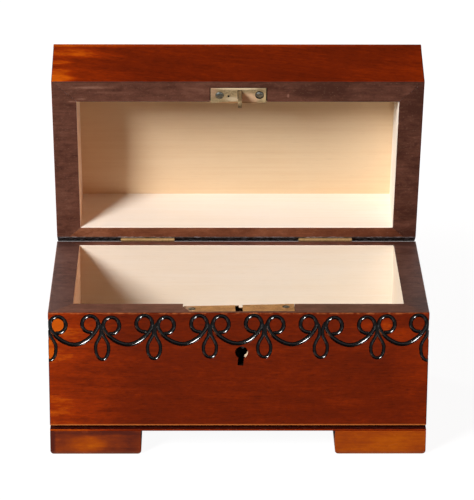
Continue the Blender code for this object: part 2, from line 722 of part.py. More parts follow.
def make_lock(front_wall):
    """The lock in its own frame: X along the rim, Y in from the front face, Z up from the rim."""
    lock = make_frame("lock_frame", (LOCK_PLACE, FRONT_Y, RIM_HEIGHT), (0, -LOCK_TILT, 0))
    size = (LOCK_SCREW_HEAD_RADIUS, LOCK_SCREW_HEAD_DEPTH, LOCK_SCREW_SHANK_RADIUS, LOCK_SCREW_LENGTH)
    selvage_y = (SELVAGE_FRONT + PLATE_INNER) / 2
    plate_z = -LOCK_SINK - LOCK_PLATE_HEIGHT + PLATE_SCREW_RISE
    places = {}
    for end, across in (("left", -LOCK_SCREW_SPACING / 2), ("right", LOCK_SCREW_SPACING / 2)):
        places[f"lock_rim_screw_{end}"] = ((across, selvage_y, -LOCK_SINK), (0, 0, 0))
        places[f"lock_inside_screw_{end}"] = ((across, WALL_THICKNESS, plate_z), (-RIGHT_ANGLE, 0, 0))
    holes = make_screws("lock_screws", size, places, lock)
    keyhole = make_keyhole_cutter(lock)
    make_lock_plate(lock, holes)
    make_case(lock, keyhole)
    make_bolt(lock)
    make_studs(lock)
    make_spring(lock)
    make_key_pin(lock)

    inside = WALL_THICKNESS + OVERRUN
    section = [
        (SELVAGE_FRONT - WOOD_GAP, OVERRUN),
        (SELVAGE_FRONT - WOOD_GAP, SELVAGE_UNDER - WOOD_GAP),
        (PLATE_INNER - WOOD_GAP, SELVAGE_UNDER - WOOD_GAP),
        (PLATE_INNER - WOOD_GAP, -LOCK_SINK - LOCK_PLATE_HEIGHT - WOOD_GAP),
        (inside, -LOCK_SINK - LOCK_PLATE_HEIGHT - WOOD_GAP),
        (inside, OVERRUN),
    ]
    length = LOCK_PLATE_LENGTH + 2 * WOOD_GAP
    recess = make_plate("plate_recess", [section], length, cutters, lock, (0, 0, 0), OUTLINE_IN_YZ)
    case_half = CASE_LENGTH / 2 + WOOD_GAP
    low = (-case_half, CASE_FRONT - WOOD_GAP, CASE_LOW - WOOD_GAP)
    pocket = make_block("case_pocket", low, (case_half, inside + OVERRUN, 0), cutters, lock)
    cut(front_wall, recess, pocket, keyhole, holes)


def hook_outlines():
    """The strike's hook seen from the side: a rounded tab with an eye, and a riveted tenon above."""
    half = HOOK_WIDTH / 2
    tenon = HOOK_TENON_WIDTH / 2
    rivet = HOOK_RIVET_WIDTH / 2
    shoulder = -METAL_GAP
    rivet_low = STRIKE_THICKNESS + METAL_GAP
    rivet_top = rivet_low + HOOK_RIVET_HEIGHT
    outline = arc_points((0, half - HOOK_LENGTH), half, HALF_TURN, 2 * HALF_TURN, ROD_SIDES // 2)
    outline += [
        (half, shoulder),
        (tenon, shoulder),
        (tenon, rivet_low),
        (rivet, rivet_low),
        (rivet, rivet_top),
        (-rivet, rivet_top),
        (-rivet, rivet_low),
        (-tenon, rivet_low),
        (-tenon, shoulder),
        (-half, shoulder),
    ]
    eye_half = HOOK_EYE_WIDTH / 2
    eye_z = -HOOK_EYE_DROP - RIM_GAP
    eye_low, eye_top = eye_z - HOOK_EYE_HEIGHT / 2, eye_z + HOOK_EYE_HEIGHT / 2
    eye = [(-eye_half, eye_low), (eye_half, eye_low), (eye_half, eye_top), (-eye_half, eye_top)]
    return [outline, eye]


def make_strike(lid_front_wall, lid_axis):
    """The strike plate let into the lid's rim, its hook and its screws."""
    strike = make_frame("strike_frame", (STRIKE_PLACE, FRONT_Y - HINGE_Y, LID_RIM_Z), (0, 0, 0), lid_axis)
    half = STRIKE_LENGTH / 2
    low = (-half, STRIKE_FRONT, 0)
    plate = make_block("strike_plate", low, (half, WALL_THICKNESS, STRIKE_THICKNESS), parts, strike)
    spot = (0, HOOK_MIDDLE, 0)
    hook = make_plate("strike_hook", hook_outlines(), HOOK_THICKNESS, parts, strike, spot, OUTLINE_IN_YZ)
    finish(hook, BRASS)

    size = (
        STRIKE_SCREW_HEAD_RADIUS, STRIKE_SCREW_HEAD_DEPTH, STRIKE_SCREW_SHANK_RADIUS, STRIKE_SCREW_LENGTH,
    )
    screw_y = STRIKE_FRONT + STRIKE_WIDTH / 2
    places = {}
    for end, across in (("left", -STRIKE_SCREW_SPACING / 2), ("right", STRIKE_SCREW_SPACING / 2)):
        places[f"strike_screw_{end}"] = ((across, screw_y, 0), (HALF_TURN, 0, 0))
    holes = make_screws("strike_screws", size, places, strike)

    tenon_x = HOOK_THICKNESS / 2 + METAL_GAP
    tenon_y = HOOK_TENON_WIDTH / 2 + METAL_GAP
    low = (-tenon_x, HOOK_MIDDLE - tenon_y, -OVERRUN)
    high = (tenon_x, HOOK_MIDDLE + tenon_y, STRIKE_THICKNESS + OVERRUN)
    finish(cut(plate, make_block("tenon_hole", low, high, cutters, strike), holes), BRASS)

    mortise_half = half + WOOD_GAP
    low = (-mortise_half, STRIKE_FRONT - WOOD_GAP, -OVERRUN)
    high = (mortise_half, WALL_THICKNESS + OVERRUN, STRIKE_THICKNESS + WOOD_GAP)
    mortise = make_block("strike_mortise", low, high, cutters, strike)
    rivet_x = HOOK_THICKNESS / 2 + WOOD_GAP
    rivet_y = HOOK_RIVET_WIDTH / 2 + WOOD_GAP
    rivet_top = STRIKE_THICKNESS + METAL_GAP + HOOK_RIVET_HEIGHT + WOOD_GAP
    low = (-rivet_x, HOOK_MIDDLE - rivet_y, 0)
    pocket = make_block("rivet_pocket", low, (rivet_x, HOOK_MIDDLE + rivet_y, rivet_top), cutters, strike)
    cut(lid_front_wall, mortise, pocket, holes)


def make_border(walls):
    """The burnt border on the front and on both sides, at the level of the rim."""
    for side, length, shares in (
        ("front", BOX_WIDTH, FRONT_NODE_SHARES),
        ("left", BOX_DEPTH, SIDE_NODE_SHARES),
        ("right", BOX_DEPTH, SIDE_NODE_SHARES),
    ):
        wall = walls[side]
        border = make_frame(wall.name + "_border", (0, 0, WALL_HEIGHT), (0, 0, 0), wall.parent)
        carve_border(wall, length, shares, border)


lid_axis = make_frame("lid_axis", (0, HINGE_Y, HINGE_Z), (-LID_OPEN_ANGLE, 0, 0))
box_walls = make_walls("", WALL_LOW, WALL_HEIGHT, MIDDLE_Y, None)
lid_walls = make_walls("lid_", LID_RIM_Z, LID_WALL_HEIGHT, MIDDLE_Y - HINGE_Y, lid_axis)
make_floor_board()
make_lid_board(lid_axis)
make_feet()
make_hinges(box_walls, lid_walls, lid_axis)
make_lock(box_walls["front"])
make_strike(lid_walls["front"], lid_axis)
make_border(box_walls)
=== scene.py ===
# The look of a small wooden keepsake box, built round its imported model: glossy red-brown outside, raw pale
# wood inside, a burnt scroll border, brass hinges and a mortised lock. Lengths are in metres.

from math import atan2, cos, radians, sin, tan

import bmesh
import bpy
from mathutils import Matrix, Vector
from mathutils.geometry import interpolate_bezier


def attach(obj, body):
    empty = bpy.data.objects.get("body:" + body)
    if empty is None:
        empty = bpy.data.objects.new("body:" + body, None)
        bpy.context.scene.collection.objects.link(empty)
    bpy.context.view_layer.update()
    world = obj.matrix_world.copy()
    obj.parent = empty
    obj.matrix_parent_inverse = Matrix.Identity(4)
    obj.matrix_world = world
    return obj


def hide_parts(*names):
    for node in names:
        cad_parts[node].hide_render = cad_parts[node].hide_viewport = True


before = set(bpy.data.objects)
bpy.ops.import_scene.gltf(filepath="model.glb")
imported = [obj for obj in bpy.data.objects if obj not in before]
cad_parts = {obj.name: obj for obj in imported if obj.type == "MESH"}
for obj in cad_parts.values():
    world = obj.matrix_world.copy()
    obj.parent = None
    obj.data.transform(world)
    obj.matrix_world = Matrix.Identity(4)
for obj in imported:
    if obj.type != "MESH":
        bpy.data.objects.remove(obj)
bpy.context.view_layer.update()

# Box and lid, as in the part
BOX_WIDTH = 0.200
BOX_DEPTH = 0.113
RIM_HEIGHT = 0.0812
WALL_THICKNESS = 0.013
WALL_LOW = 0.0165
FRONT_Y = -0.071733
BACK_Y = FRONT_Y + BOX_DEPTH
MIDDLE_Y = FRONT_Y + BOX_DEPTH / 2
SIDE_X = BOX_WIDTH / 2
HINGE = Vector((0, 0.036567, 0.08135))
LID_OPEN_ANGLE = radians(72)
LID_RIM = 0.0815
LID_WALL_TOP = 0.1123
LID_TOP = 0.1171
LID_EXTRAS = {"front": 0.0008, "back": 0.0004, "left": 0.0004, "right": 0.0004}
CHAMFER_START_Y = 0.034901
LID_CHAMFER_SHIFT = 0.0001
CHAMFER_ANGLE = LID_OPEN_ANGLE / 2

# Softened arrises, with their steps, and parting lines
ARRIS = 0.0005
ARRIS_STEPS = 3
MITRE_GAP = 0.00003
LID_BOARD_ROUNDING = 0.00135
LID_BOARD_STEPS = 5
METAL_ARRIS = 0.00012
STRIKE_ARRIS = 0.0003
SMOOTH_ANGLE = radians(32)
MERGE_DISTANCE = 0.000004
OVERRUN = 0.001
QUARTER = radians(90)
HALF = radians(180)

# Which faces are painted: how far a face looks along a line, and how wide the finishes overlap an arris
SQUARE_ON = 0.9
RIM_FACING = 0.5
LACQUER_FACING = 0.86
SLOPE_FACING = 0.05
MITRE_FACING = (0.6, 0.8)
LEVEL = 0.1
RAW_EDGE = ARRIS * 0.6
LACQUER_EDGE = ARRIS * 0.7

# Bottom board: a lip flush with the walls, and a shadow line above it
BOARD_LOW = 0.01342
BOARD_LIP_TOP = 0.0145
BOARD_TOP = 0.01645
BOARD_RECESS = 0.0026
BOARD_ARRIS = 0.0003

# Feet
FOOT_WIDTH = 0.0484
FOOT_DEPTH = 0.040
FOOT_HEIGHT = 0.0134
FOOT_ROUNDING = 0.0018
FOOT_STEPS = 4

# Lock: X along the rim, Y in from the front face, Z up from the rim
LOCK_SPOT = (0.0003, FRONT_Y, RIM_HEIGHT)
LOCK_TILT = radians(0.6)
STRIP_TILT = radians(1.0)
STRIP_TURN = radians(0.75)
STRIP_SINK = 0.00062
PLATE_LENGTH = 0.0583
PLATE_HEIGHT = 0.034
PLATE_THICKNESS = 0.001
SELVAGE_FRONT = 0.0023
SLOT_WIDTH = 0.0039
SLOT_FRONT = 0.0034
SLOT_DROP = 0.0004
SLOT_CORNER_DROP = 0.0016
RECESS_GAP = 0.00025
CASE_HALF = 0.0183
CASE_FRONT = 0.0041
CASE_DEEP = 0.0328
LOCK_SCREWS = {
    # end: place along the strip, turn of the slot and tip of the rim's screw
    "left": (-0.0249, radians(40), radians(9)),
    "right": (0.0249, radians(-25), radians(-5)),
}
RIM_SCREW_Y = 0.0085
PLATE_SCREW_Z = -0.02985
FOLD_ROUNDING = 0.0007
FOLD_STEPS = 5
CHEWED_CORNER = (-0.0291, 0.0085, 0)
CHEWED_FACING = (-0.88, -0.48, 0)
KEYHOLE_X = 0.0010
KEYHOLE_Z = -0.0225
KEYHOLE_RADIUS = 0.0034
KEYHOLE_SLOT = 0.0031
KEYHOLE_FOOT = -0.0300
KEYHOLE_LEAN = radians(5)
KEYHOLE_DEPTH = 0.0055

# Strike on the lid's rim: X along the rim, Y in from the front face, Z up into the wood
STRIKE_SPOT = (0.0003, FRONT_Y, LID_RIM)
STRIKE_LENGTH = 0.0299
STRIKE_FRONT = 0.0047
STRIKE_BACK = 0.0145
STRIKE_THICKNESS = 0.0012
STRIKE_SCREWS = {
    # end: place along the strike, tip, how deep it sits and how far its hole is worn
    "left": (-0.0101, radians(3), 0, 0),
    "right": (0.0113, radians(9), 0.0003, 0.0005),
}
STRIKE_SCREW_Y = 0.0093
STRIKE_SPIN = radians(35)
STRIKE_END_GAP = 0.0005
STRIKE_FRONT_GAP = 0.0004
DENT_SPOT = (-0.0053, 0.0098, 0)
DENT_PROFILE = ((0.0008, 0.00025), (0.0006, 0), (0.0001, -0.0004))
HOOK_X = 0.00075
HOOK_THICKNESS = 0.0019
HOOK_FRONT = 0.0062
HOOK_BACK = 0.0114
HOOK_DROP = 0.0103
HOOK_EYE = (0.0033, 0.0036)
HOOK_EYE_ROUNDING = 0.0005
HOOK_EYE_STEPS = 4
HOOK_EYE_Z = -0.0065
HOOK_ROOM = 0.0003
HOOK_MOUTH_DEPTH = 0.0006
HOOK_SHOULDER = 0.00003
HOOK_FLAT = 0.0001
HOOK_STEPS = 8
HOOK_RIVET = ((0.0001, 0.52), (0.0012, 1), (0, 1.5), (0.0008, 1))

# Hinges: in their slope, X along the pin, Y down the slope and Z square to it
HINGE_PLACES = {"left": -0.0495, "right": 0.0495}
HINGE_HALF = 0.0148
KNUCKLE_HALF = 0.0066
BARREL_RADIUS = 0.0011
KNUCKLE_GAP = 0.0002
PIN_RADIUS = 0.00045
PIN_HALF = 0.0150
LEAF_WIDTH = 0.0052
LEAF_NEAR = 0.0001
LEAF_FAR = 0.0008
LEAF_ROUNDING = 0.0009
LEAF_STEPS = 4
PIN_TIP = 0.6
PIN_ARRIS = 0.0001
PIN_SIDES = 16
HINGE_SCREW_X = 0.0105
HINGE_SCREW_Y = 0.0032

# Screws: radius and depth of the head, its dome, radius of the shank and length. Sinks: radius and depth.
LOCK_SCREW = (0.0017, 0.0009, 0.00025, 0.0008, 0.009)
LOCK_SINK = (0.0020, 0.0009)
STRIKE_SCREW = (0.00215, 0.001, 0.00055, 0.001, 0.011)
STRIKE_SINK = (0.0023, 0.0011)
HINGE_SCREW = (0.0012, 0.0005, 0.00008, 0.0006, 0.006)
HINGE_SINK = (0.0013, 0.0006)

# Shares of a screw's or sink's own sizes, and how long a sink's cutter is
SCREW_DOME = ((0.45, 1), (0.8, 0.6), (1, 0))
SCREW_EDGE = (0.97, 0.15)
SCREW_TIP = 0.15
SCREW_SLOT = (1.2, 0.12, 0.5)
SINK_HOLE = (0.45, 0.4)
SINK_LENGTH = 0.01

# Burnt border: places along a face from its middle, depths down from the rim. Each row is a node: where
# its teardrop hangs, how low, and the middles of the curls to its left and to its right.
FRONT_SCROLLS = (
    (-0.09940, 0.0270, None, (-0.09485, 0.00690)),
    (-0.07175, 0.0265, (-0.07790, 0.00645), (-0.06680, 0.00725)),
    (-0.04450, 0.0260, (-0.04950, 0.00620), (-0.03810, 0.00710)),
    (-0.01510, 0.0252, (-0.02080, 0.00625), (-0.00940, 0.00650)),
    (0.01345, 0.0252, (0.00785, 0.00620), (0.01940, 0.00680)),
    (0.04320, 0.0254, (0.03655, 0.00640), (0.05000, 0.00735)),
    (0.07295, 0.0257, (0.06720, 0.00700), (0.07765, 0.00650)),
    (0.09930, 0.0270, (0.09440, 0.00600), None),
)
FRONT_GARLANDS = (0.0181, 0.0180, 0.0177, 0.0174, 0.0179, 0.0184, 0.0178)
SIDE_NODES = (-0.0571, -0.02855, 0, 0.02855, 0.0571)
CURL_REACH = 0.0056
CURL_DEPTH = 0.0067
DROP_LOW = 0.0257
SIDE_SCROLLS = [
    (node, DROP_LOW, (node - CURL_REACH, CURL_DEPTH), (node + CURL_REACH, CURL_DEPTH)) for node in SIDE_NODES
]
SIDE_GARLANDS = [0.0179] * (len(SIDE_NODES) - 1)
CURL_HALF_WIDTH = 0.0042
CURL_HALF_HEIGHT = 0.00462
CURL_START = radians(-112)
CURL_END = radians(195)
CURL_STEPS = 34
GARLAND_HANDLE_SHARE = 0.4
GARLAND_STEPS = 18
GARLAND_START = 0.98
DROP_TOP = 0.0050
DROP_TOP_SHARE = 0.75
DROP_NECK = (-0.0016, 0.0148)
DROP_SHOULDER = (0.0039, 0.0149)
CORNER_REACH = 0.0014
DROP_HALF_WIDTH = 0.0034
DROP_WIDEST = 0.0203
DROP_HIP_SHARE = 0.5
DROP_TIP_SHARE = 0.62
DROP_STEPS = 12
CURL_STROKE = 0.00113
GARLAND_STROKE = 0.00132
DROP_STROKE = 0.00098
DROP_UNLIKE = 0.01
STROKE_START = (0.4, 0.92)
STROKE_END = (0.85, 0.4)
STROKE_ROUNDNESS = 4
STROKE_LIFT = 0.00022

ROUND_SIDES = 32


# ---- finishes

class Wire:
    """One output on a tray, on which sums are written as plain Python."""

    def __init__(self, tray, socket):
        self.tray = tray
        self.socket = socket

    def __add__(self, other):
        return self.tray.sum("ADD", self, other)

    def __sub__(self, other):
        return self.tray.sum("SUBTRACT", self, other)

    def __rsub__(self, other):
        return self.tray.sum("SUBTRACT", other, self)

    def __mul__(self, other):
        return self.tray.sum("MULTIPLY", self, other)

    def __neg__(self):
        return self.tray.sum("MULTIPLY", self, -1)

    __radd__ = __add__
    __rmul__ = __mul__


class Tray:
    """The nodes of one finish, paper or room, each laid out by one method."""

    def __init__(self, tree):
        self.tree = tree

    def feed(self, socket, value):
        if isinstance(value, Wire):
            self.tree.links.new(value.socket, socket)
        else:
            socket.default_value = value

    def node(self, kind, settings=(), values=(), output=0):
        """Add any node: its settings come first, then the values or links of its sockets."""
        step = self.tree.nodes.new("ShaderNode" + kind)
        for name, setting in dict(settings).items():
            if name == "stops":
                self.set_stops(step.color_ramp.elements, setting)
            else:
                setattr(step, name, setting)
        for socket, value in dict(values).items():
            self.feed(step.inputs[socket], value)
        return None if output is None else Wire(self, step.outputs[output])

    def set_stops(self, elements, stops):
        while len(elements) < len(stops):
            elements.new(1)
        for element, (place, tone) in zip(elements, stops):
            element.position = place
            element.color = (*tone, 1)

    def sum(self, operation, first, second=0):
        return self.node("Math", {"operation": operation}, {0: first, 1: second})

    def vector(self, operation, first, second=(0, 0, 0), output=0):
        return self.node("VectorMath", {"operation": operation}, {0: first, 1: second}, output)

    def along(self, spots, axis):
        return self.node("SeparateXYZ", {}, {0: spots}, output=axis)

    def fade(self, value, start, end):
        """0 before start, 1 after end and a smooth step between them."""
        return self.node("MapRange", {"interpolation_type": "SMOOTHSTEP"}, {
            "Value": value, "From Min": start, "From Max": end,
        })


class Finish(Tray):
    """A material being mixed: a Principled shader and the nodes that feed it."""

    def __init__(self, name, **constants):
        self.material = bpy.data.materials.new(name)
        self.material.use_nodes = True
        super().__init__(self.material.node_tree)
        self.shader = self.tree.nodes["Principled BSDF"]
        self.set(**constants)

    def set(self, **inputs):
        for socket, value in inputs.items():
            self.feed(self.shader.inputs[socket.replace("_", " ")], value)

    def places(self, turn=(0, 0, 0), about=(0, 0, 0)):
        """Object coordinates, turned back about a point so that a pattern follows its board."""
        spots = self.node("TexCoord", output="Object")
        turning = Matrix.Rotation(turn[2], 3, "Z") @ Matrix.Rotation(turn[0], 3, "X")
        shift = Vector(about) - turning @ Vector(about)
        return self.node("Mapping", {}, {"Vector": spots, "Location": shift, "Rotation": turn})

    def noise(self, spots, scale, detail, roughness, distortion=0):
        """Cloudy noise from about 0 to 1, with its own scale along each axis in cycles a metre."""
        return self.node("TexNoise", {}, {
            "Vector": self.vector("MULTIPLY", spots, scale), "Scale": 1, "Detail": detail,
            "Roughness": roughness, "Distortion": distortion,
        })

    def mix(self, share, first, second):
        """The second colour over the first by a share."""
        values = {0: share, 6: colour(first), 7: colour(second)}
        return self.node("Mix", {"data_type": "RGBA", "clamp_factor": True}, values, output=2)

    def ramp(self, value, *stops):
        """Colours picked by a value from 0 to 1."""
        return self.node("ValToRGB", {"stops": stops}, {0: value})

    def patch(self, spots, middle, reach):
        """1 in the middle of an oval patch, fading to 0 at its reach along each axis."""
        away = self.vector("DIVIDE", self.vector("SUBTRACT", spots, middle), reach)
        return self.fade(self.vector("LENGTH", away, output="Value"), 1, PATCH_CORE)

    def patched(self, value, spots, patches):
        """A value raised in each patch by its share."""
        for middle, reach, share in patches:
            value = value + self.patch(spots, middle, reach) * share
        return value

    def bump(self, height, distance, strength):
        values = {"Height": height, "Distance": distance, "Strength": strength}
        return self.node("Bump", {}, values)


def colour(value):
    return value if isinstance(value, Wire) else (*value, 1)


LID_TURN = (LID_OPEN_ANGLE, 0, 0)

# Stains from thick to thin, and the tones laid over them
STAIN = (
    (0, (0.078, 0.0080, 0.0012)), (0.35, (0.180, 0.0160, 0.0012)), (0.68, (0.345, 0.032, 0.001)),
    (1, (0.64, 0.105, 0.002)),
)
STAIN_STREAK = (0.06, 0.006, 0.001)
STAIN_PORE = (0.035, 0.005, 0.001)
# Along the walls' arrises: the top band is wear with a painted highlight, the low band a painted highlight
TOP_ARRIS_WEAR_AND_HIGHLIGHT = (0.50, 0.15, 0.045)
LOW_ARRIS_HIGHLIGHT = (0.66, 0.19, 0.040)
RIM_STAIN = (
    (0, (0.075, 0.024, 0.014)), (0.4, (0.145, 0.053, 0.033)), (0.75, (0.21, 0.086, 0.054)),
    (1, (0.30, 0.145, 0.10)),
)
RIM_DUST = (0.34, 0.20, 0.14)
RIM_PIT = (0.05, 0.016, 0.010)
RIM_EDGE = (0.05, 0.016, 0.009)
FOOT_STAIN = (
    (0, (0.10, 0.018, 0.010)), (0.35, (0.22, 0.034, 0.008)), (0.7, (0.40, 0.066, 0.004)),
    (1, (0.56, 0.115, 0.003)),
)
FOOT_STREAK = (0.08, 0.010, 0.003)
FOOT_SCUFF = (0.20, 0.075, 0.045)
CHAR = (0.0008, 0.0007, 0.0008)
CHAR_BROWN = (0.007, 0.003, 0.002)
# Inside holes and recesses: near black, painted shade with some stain run in
HOLE_SHADE_DARK = (0.006, 0.003, 0.002)
HOLE_SHADE_BROWN = (0.020, 0.008, 0.005)
BARE_WOOD = (0.84, 0.62, 0.42)

# Where a stain is rubbed thin or wiped, and the raw corner of the keyhole, where light falls and the painted
# shade stops: middle and reach
RAW_CORNER = (
    (KEYHOLE_X + 0.0030, FRONT_Y + 0.0024, RIM_HEIGHT + KEYHOLE_Z - 0.0014), (0.0026, 0.0060, 0.0024),
)
PATCH_CORE = 0.25
PATCH_HEIGHT = 0.01


def front_patches(deep, *rows):
    """Patches on the front: place across and up, reach across and up, and how much warmer they look."""
    return [((x, FRONT_Y, z), (wide, deep, high), share) for x, z, wide, high, share in rows]


def rim_patches(up, *rows):
    """Patches on a rim: place across and in from the front, reach across and in, and how much paler."""
    return [((x, FRONT_Y + y, up), (wide, deep, PATCH_HEIGHT), share) for x, y, wide, deep, share in rows]


FRONT_RUBBED = front_patches(
    0.01,
    (-0.0948, 0.0742, 0.0062, 0.0062, 0.55),
    (-0.0860, 0.0690, 0.0120, 0.0060, 0.04),
    (-0.0990, 0.0595, 0.0045, 0.0100, 0.30),
    (0.0775, 0.0742, 0.0052, 0.0052, 0.42),
    (0.0672, 0.0742, 0.0052, 0.0052, 0.20),
    (0.0865, 0.0690, 0.0100, 0.0060, 0.26),
    (-0.0960, 0.0230, 0.0160, 0.0160, 0.12),
    (0.0900, 0.0460, 0.0180, 0.0200, 0.12),
)
FEET_RUBBED = front_patches(
    0.02,
    (-0.0800, 0.0062, 0.0150, 0.0060, 0.55),
    (-0.0550, 0.0070, 0.0090, 0.0120, -0.18),
    (-0.1000, 0.0065, 0.0036, 0.0200, -0.65),
    (-0.0760, 0.0124, 0.0400, 0.0020, -0.32),
    (0.0850, 0.0068, 0.0200, 0.0090, 0.16),
)
LID_RUBBED_AND_TOP_HIGHLIGHT = front_patches(
    0.02,
    (-0.0985, 0.0845, 0.0150, 0.0065, 0.62),
    (-0.0985, 0.0910, 0.0180, 0.0040, 0.32),
    (-0.0920, 0.1085, 0.0230, 0.0050, 0.36),
    (-0.0800, 0.1055, 0.0230, 0.0040, 0.22),
    (-0.0970, 0.0990, 0.0120, 0.0030, 0.32),
    # These two rows paint a highlight along the lid's top edge
    (-0.0800, 0.1156, 0.0700, 0.0034, 0.42),
    (0.0200, 0.1156, 0.0900, 0.0026, 0.34),
)
LID_WIPED = rim_patches(
    LID_RIM,
    (-0.0780, 0.0042, 0.0170, 0.0013, 0.40),
    (-0.0700, 0.0075, 0.0140, 0.0012, 0.34),
    (-0.0890, 0.0135, 0.0032, 0.0010, 0.55),
    (-0.0840, 0.0118, 0.0040, 0.0010, 0.60),
    (-0.0250, 0.0060, 0.0140, 0.0040, 0.16),
    (0.0270, 0.0095, 0.0008, 0.0018, 0.90),
    (0.0930, 0.0060, 0.0060, 0.0060, 0.35),
    (0.0430, 0.0060, 0.0250, 0.0060, -0.28),
)
RIM_WIPED = rim_patches(
    RIM_HEIGHT,
    (-0.0920, 0.1090, 0.0240, 0.0160, -0.55),
    (0.0950, 0.1100, 0.0200, 0.0160, -0.30),
)


def make_lacquer(
    name, turn=(0, 0, 0), about=(0, 0, 0), left=0.3, base=0.32, rubbed=(), drift=0, worn=False,
):
    """Glossy red-brown stain over fine straight grain, rubbed orange towards the left and in patches. When
    worn, the top arris gets wear with a painted highlight, and the low arris a painted highlight.
    """
    finish = Finish(name, Roughness=0.2, Specular_IOR_Level=0.25)
    spots = finish.places(turn, about)
    run = finish.node("Mapping", {}, {"Vector": spots, "Rotation": (0, drift, 0)})
    across = finish.along(spots, "X")
    clouds = finish.noise(spots, (12, 30, 30), 4, 0.6)
    smears = finish.noise(run, (30, 170, 170), 3, 0.6, 0.3)
    streaks = finish.noise(run, (24, 560, 560), 3, 0.65)
    mottle = finish.noise(run, (260, 620, 620), 4, 0.7, 0.4)
    fine = finish.noise(run, (80, 1900, 1900), 2, 0.5)
    pores = finish.fade(finish.noise(spots, (260, 3200, 3200), 1, 0.4), 0.6, 0.72)
    glow = finish.fade(-across, 0.045, 0.1)
    warm = base + glow * left + finish.fade(across, 0.085, 0.1) * 0.08 + (clouds - 0.5) * 0.4
    warm = warm + (smears - 0.5) * (0.3 + glow * left * 2.4) + (streaks - 0.5) * 0.25 + (mottle - 0.5) * 0.5
    warm = finish.patched(warm, spots, rubbed)
    body = finish.mix((fine - 0.4) * 0.45, finish.ramp(warm, *STAIN), STAIN_STREAK)
    body = finish.mix(pores * 0.35, body, STAIN_PORE)
    if worn:
        # A paler band at the top arris, wear with a painted highlight, and a painted highlight along the low
        # arris
        up = finish.along(spots, "Z")
        rim = finish.fade(up, RIM_HEIGHT - 0.0011, RIM_HEIGHT - 0.0006) * finish.fade(mottle, 0.42, 0.66)
        low = finish.fade(up, WALL_LOW + 0.0012, WALL_LOW + 0.0005) * (0.6 + mottle * 0.8)
        body = finish.mix(rim * 0.8, body, TOP_ARRIS_WEAR_AND_HIGHLIGHT)
        body = finish.mix(low * 0.9, body, LOW_ARRIS_HIGHLIGHT)
    finish.set(Base_Color=body, Roughness=0.15 + clouds * 0.12,
               Normal=finish.bump(streaks + fine * 0.5, 0.00002, 0.3))
    return finish.material


def make_rim_stain(name, turn=(0, 0, 0), about=(0, 0, 0), left=1.2, base=0.42, tint=(1, 1, 1), wiped=()):
    """Thin dull brown stain on the sawn rims, wiped paler and greyer in places."""
    finish = Finish(name, Roughness=0.5, Specular_IOR_Level=0.3)
    spots = finish.places(turn, about)
    clouds = finish.noise(spots, (28, 46, 46), 4, 0.65)
    blots = finish.noise(spots, (130, 260, 260), 4, 0.68, 0.6)
    streaks = finish.noise(spots, (34, 800, 800), 3, 0.65)
    specks = finish.noise(spots, (1000, 1000, 1000), 3, 0.7)
    worn = base - finish.along(spots, "X") * left + (clouds - 0.5) * 1.3 + (blots - 0.5) * 1.3
    worn = finish.patched(worn + (streaks - 0.5) * 0.6, spots, wiped)
    tone = finish.vector("MULTIPLY", finish.ramp(worn, *RIM_STAIN), tint)
    tone = finish.mix(finish.fade(specks, 0.56, 0.8) * 0.55, tone, RIM_DUST)
    tone = finish.mix(finish.fade(specks, 0.42, 0.3) * 0.4, tone, RIM_PIT)
    edge = finish.fade(finish.along(spots, "Y"), FRONT_Y + 0.0013, FRONT_Y + 0.0004)
    tone = finish.mix(edge * 0.6, tone, RIM_EDGE)
    finish.set(Base_Color=tone, Roughness=0.42 + clouds * 0.2,
               Normal=finish.bump(streaks + specks * 0.5, 0.00008, 0.5))
    return finish.material


def make_seam(name, dark_shade, pale, share):
    """The dark joint between boards, darkened as painted shade, with pale flecks painted for light that shows
    through the gap.
    """
    finish = Finish(name, Roughness=0.9, Specular_IOR_Level=0)
    spots = finish.places()
    grit = finish.noise(spots, (330, 1500, 1500), 3, 0.7)
    finish.set(Base_Color=finish.mix(finish.fade(grit, 0.47, 0.66) * share, dark_shade, pale))
    return finish.material


def make_raw_wood(name, pale, warm, turn=(0, 0, 0), about=(0, 0, 0)):
    """Planed pale wood, bare of any finish, with faint grain lines."""
    finish = Finish(name, Roughness=0.85, Specular_IOR_Level=0.06)
    spots = finish.places(turn, about)
    clouds = finish.noise(spots, (12, 40, 40), 3, 0.55)
    streaks = finish.noise(spots, (9, 480, 480), 4, 0.62, 0.4)
    flecks = finish.fade(finish.noise(spots, (160, 2400, 2400), 2, 0.5), 0.58, 0.72)
    tone = finish.mix(finish.fade(clouds + (streaks - 0.5) * 0.9, 0.25, 0.85), pale, warm)
    tone = finish.mix(flecks * 0.14, tone, tuple(part * 0.72 for part in warm))
    finish.set(Base_Color=tone, Normal=finish.bump(streaks, 0.00004, 0.4))
    return finish.material


def make_burnt(name):
    """Charred wood at the bottom of a stroke, thickly lacquered."""
    finish = Finish(
        name, Roughness=0.4, Specular_IOR_Level=0, Coat_Weight=1, Coat_Roughness=0.16, Coat_IOR=1.8,
    )
    spots = finish.places()
    char = finish.noise(spots, (420, 420, 420), 4, 0.6)
    ripple = finish.noise(spots, (150, 150, 150), 2, 0.5)
    tone = finish.mix(finish.fade(char, 0.45, 0.8), CHAR, CHAR_BROWN)
    finish.set(Base_Color=tone, Normal=finish.bump(ripple, 0.0001, 0.2))
    return finish.material


def make_shaded_hole_wood(name):
    """Wood inside the lock's holes and recesses, painted dark as their shade and partly as stain run in, but
    for a raw patch at the keyhole's lower right, where light falls.
    """
    finish = Finish(name, Roughness=0.6, Specular_IOR_Level=0.1)
    spots = finish.places()
    grain = finish.noise(spots, (200, 900, 900), 3, 0.6)
    raw = finish.fade(finish.patch(spots, *RAW_CORNER) + (grain - 0.5) * 0.3, 0.1, 0.4)
    dark_shade = finish.mix(finish.fade(grain, 0.3, 0.7), HOLE_SHADE_DARK, HOLE_SHADE_BROWN)
    finish.set(Base_Color=finish.mix(raw, dark_shade, BARE_WOOD))
    return finish.material


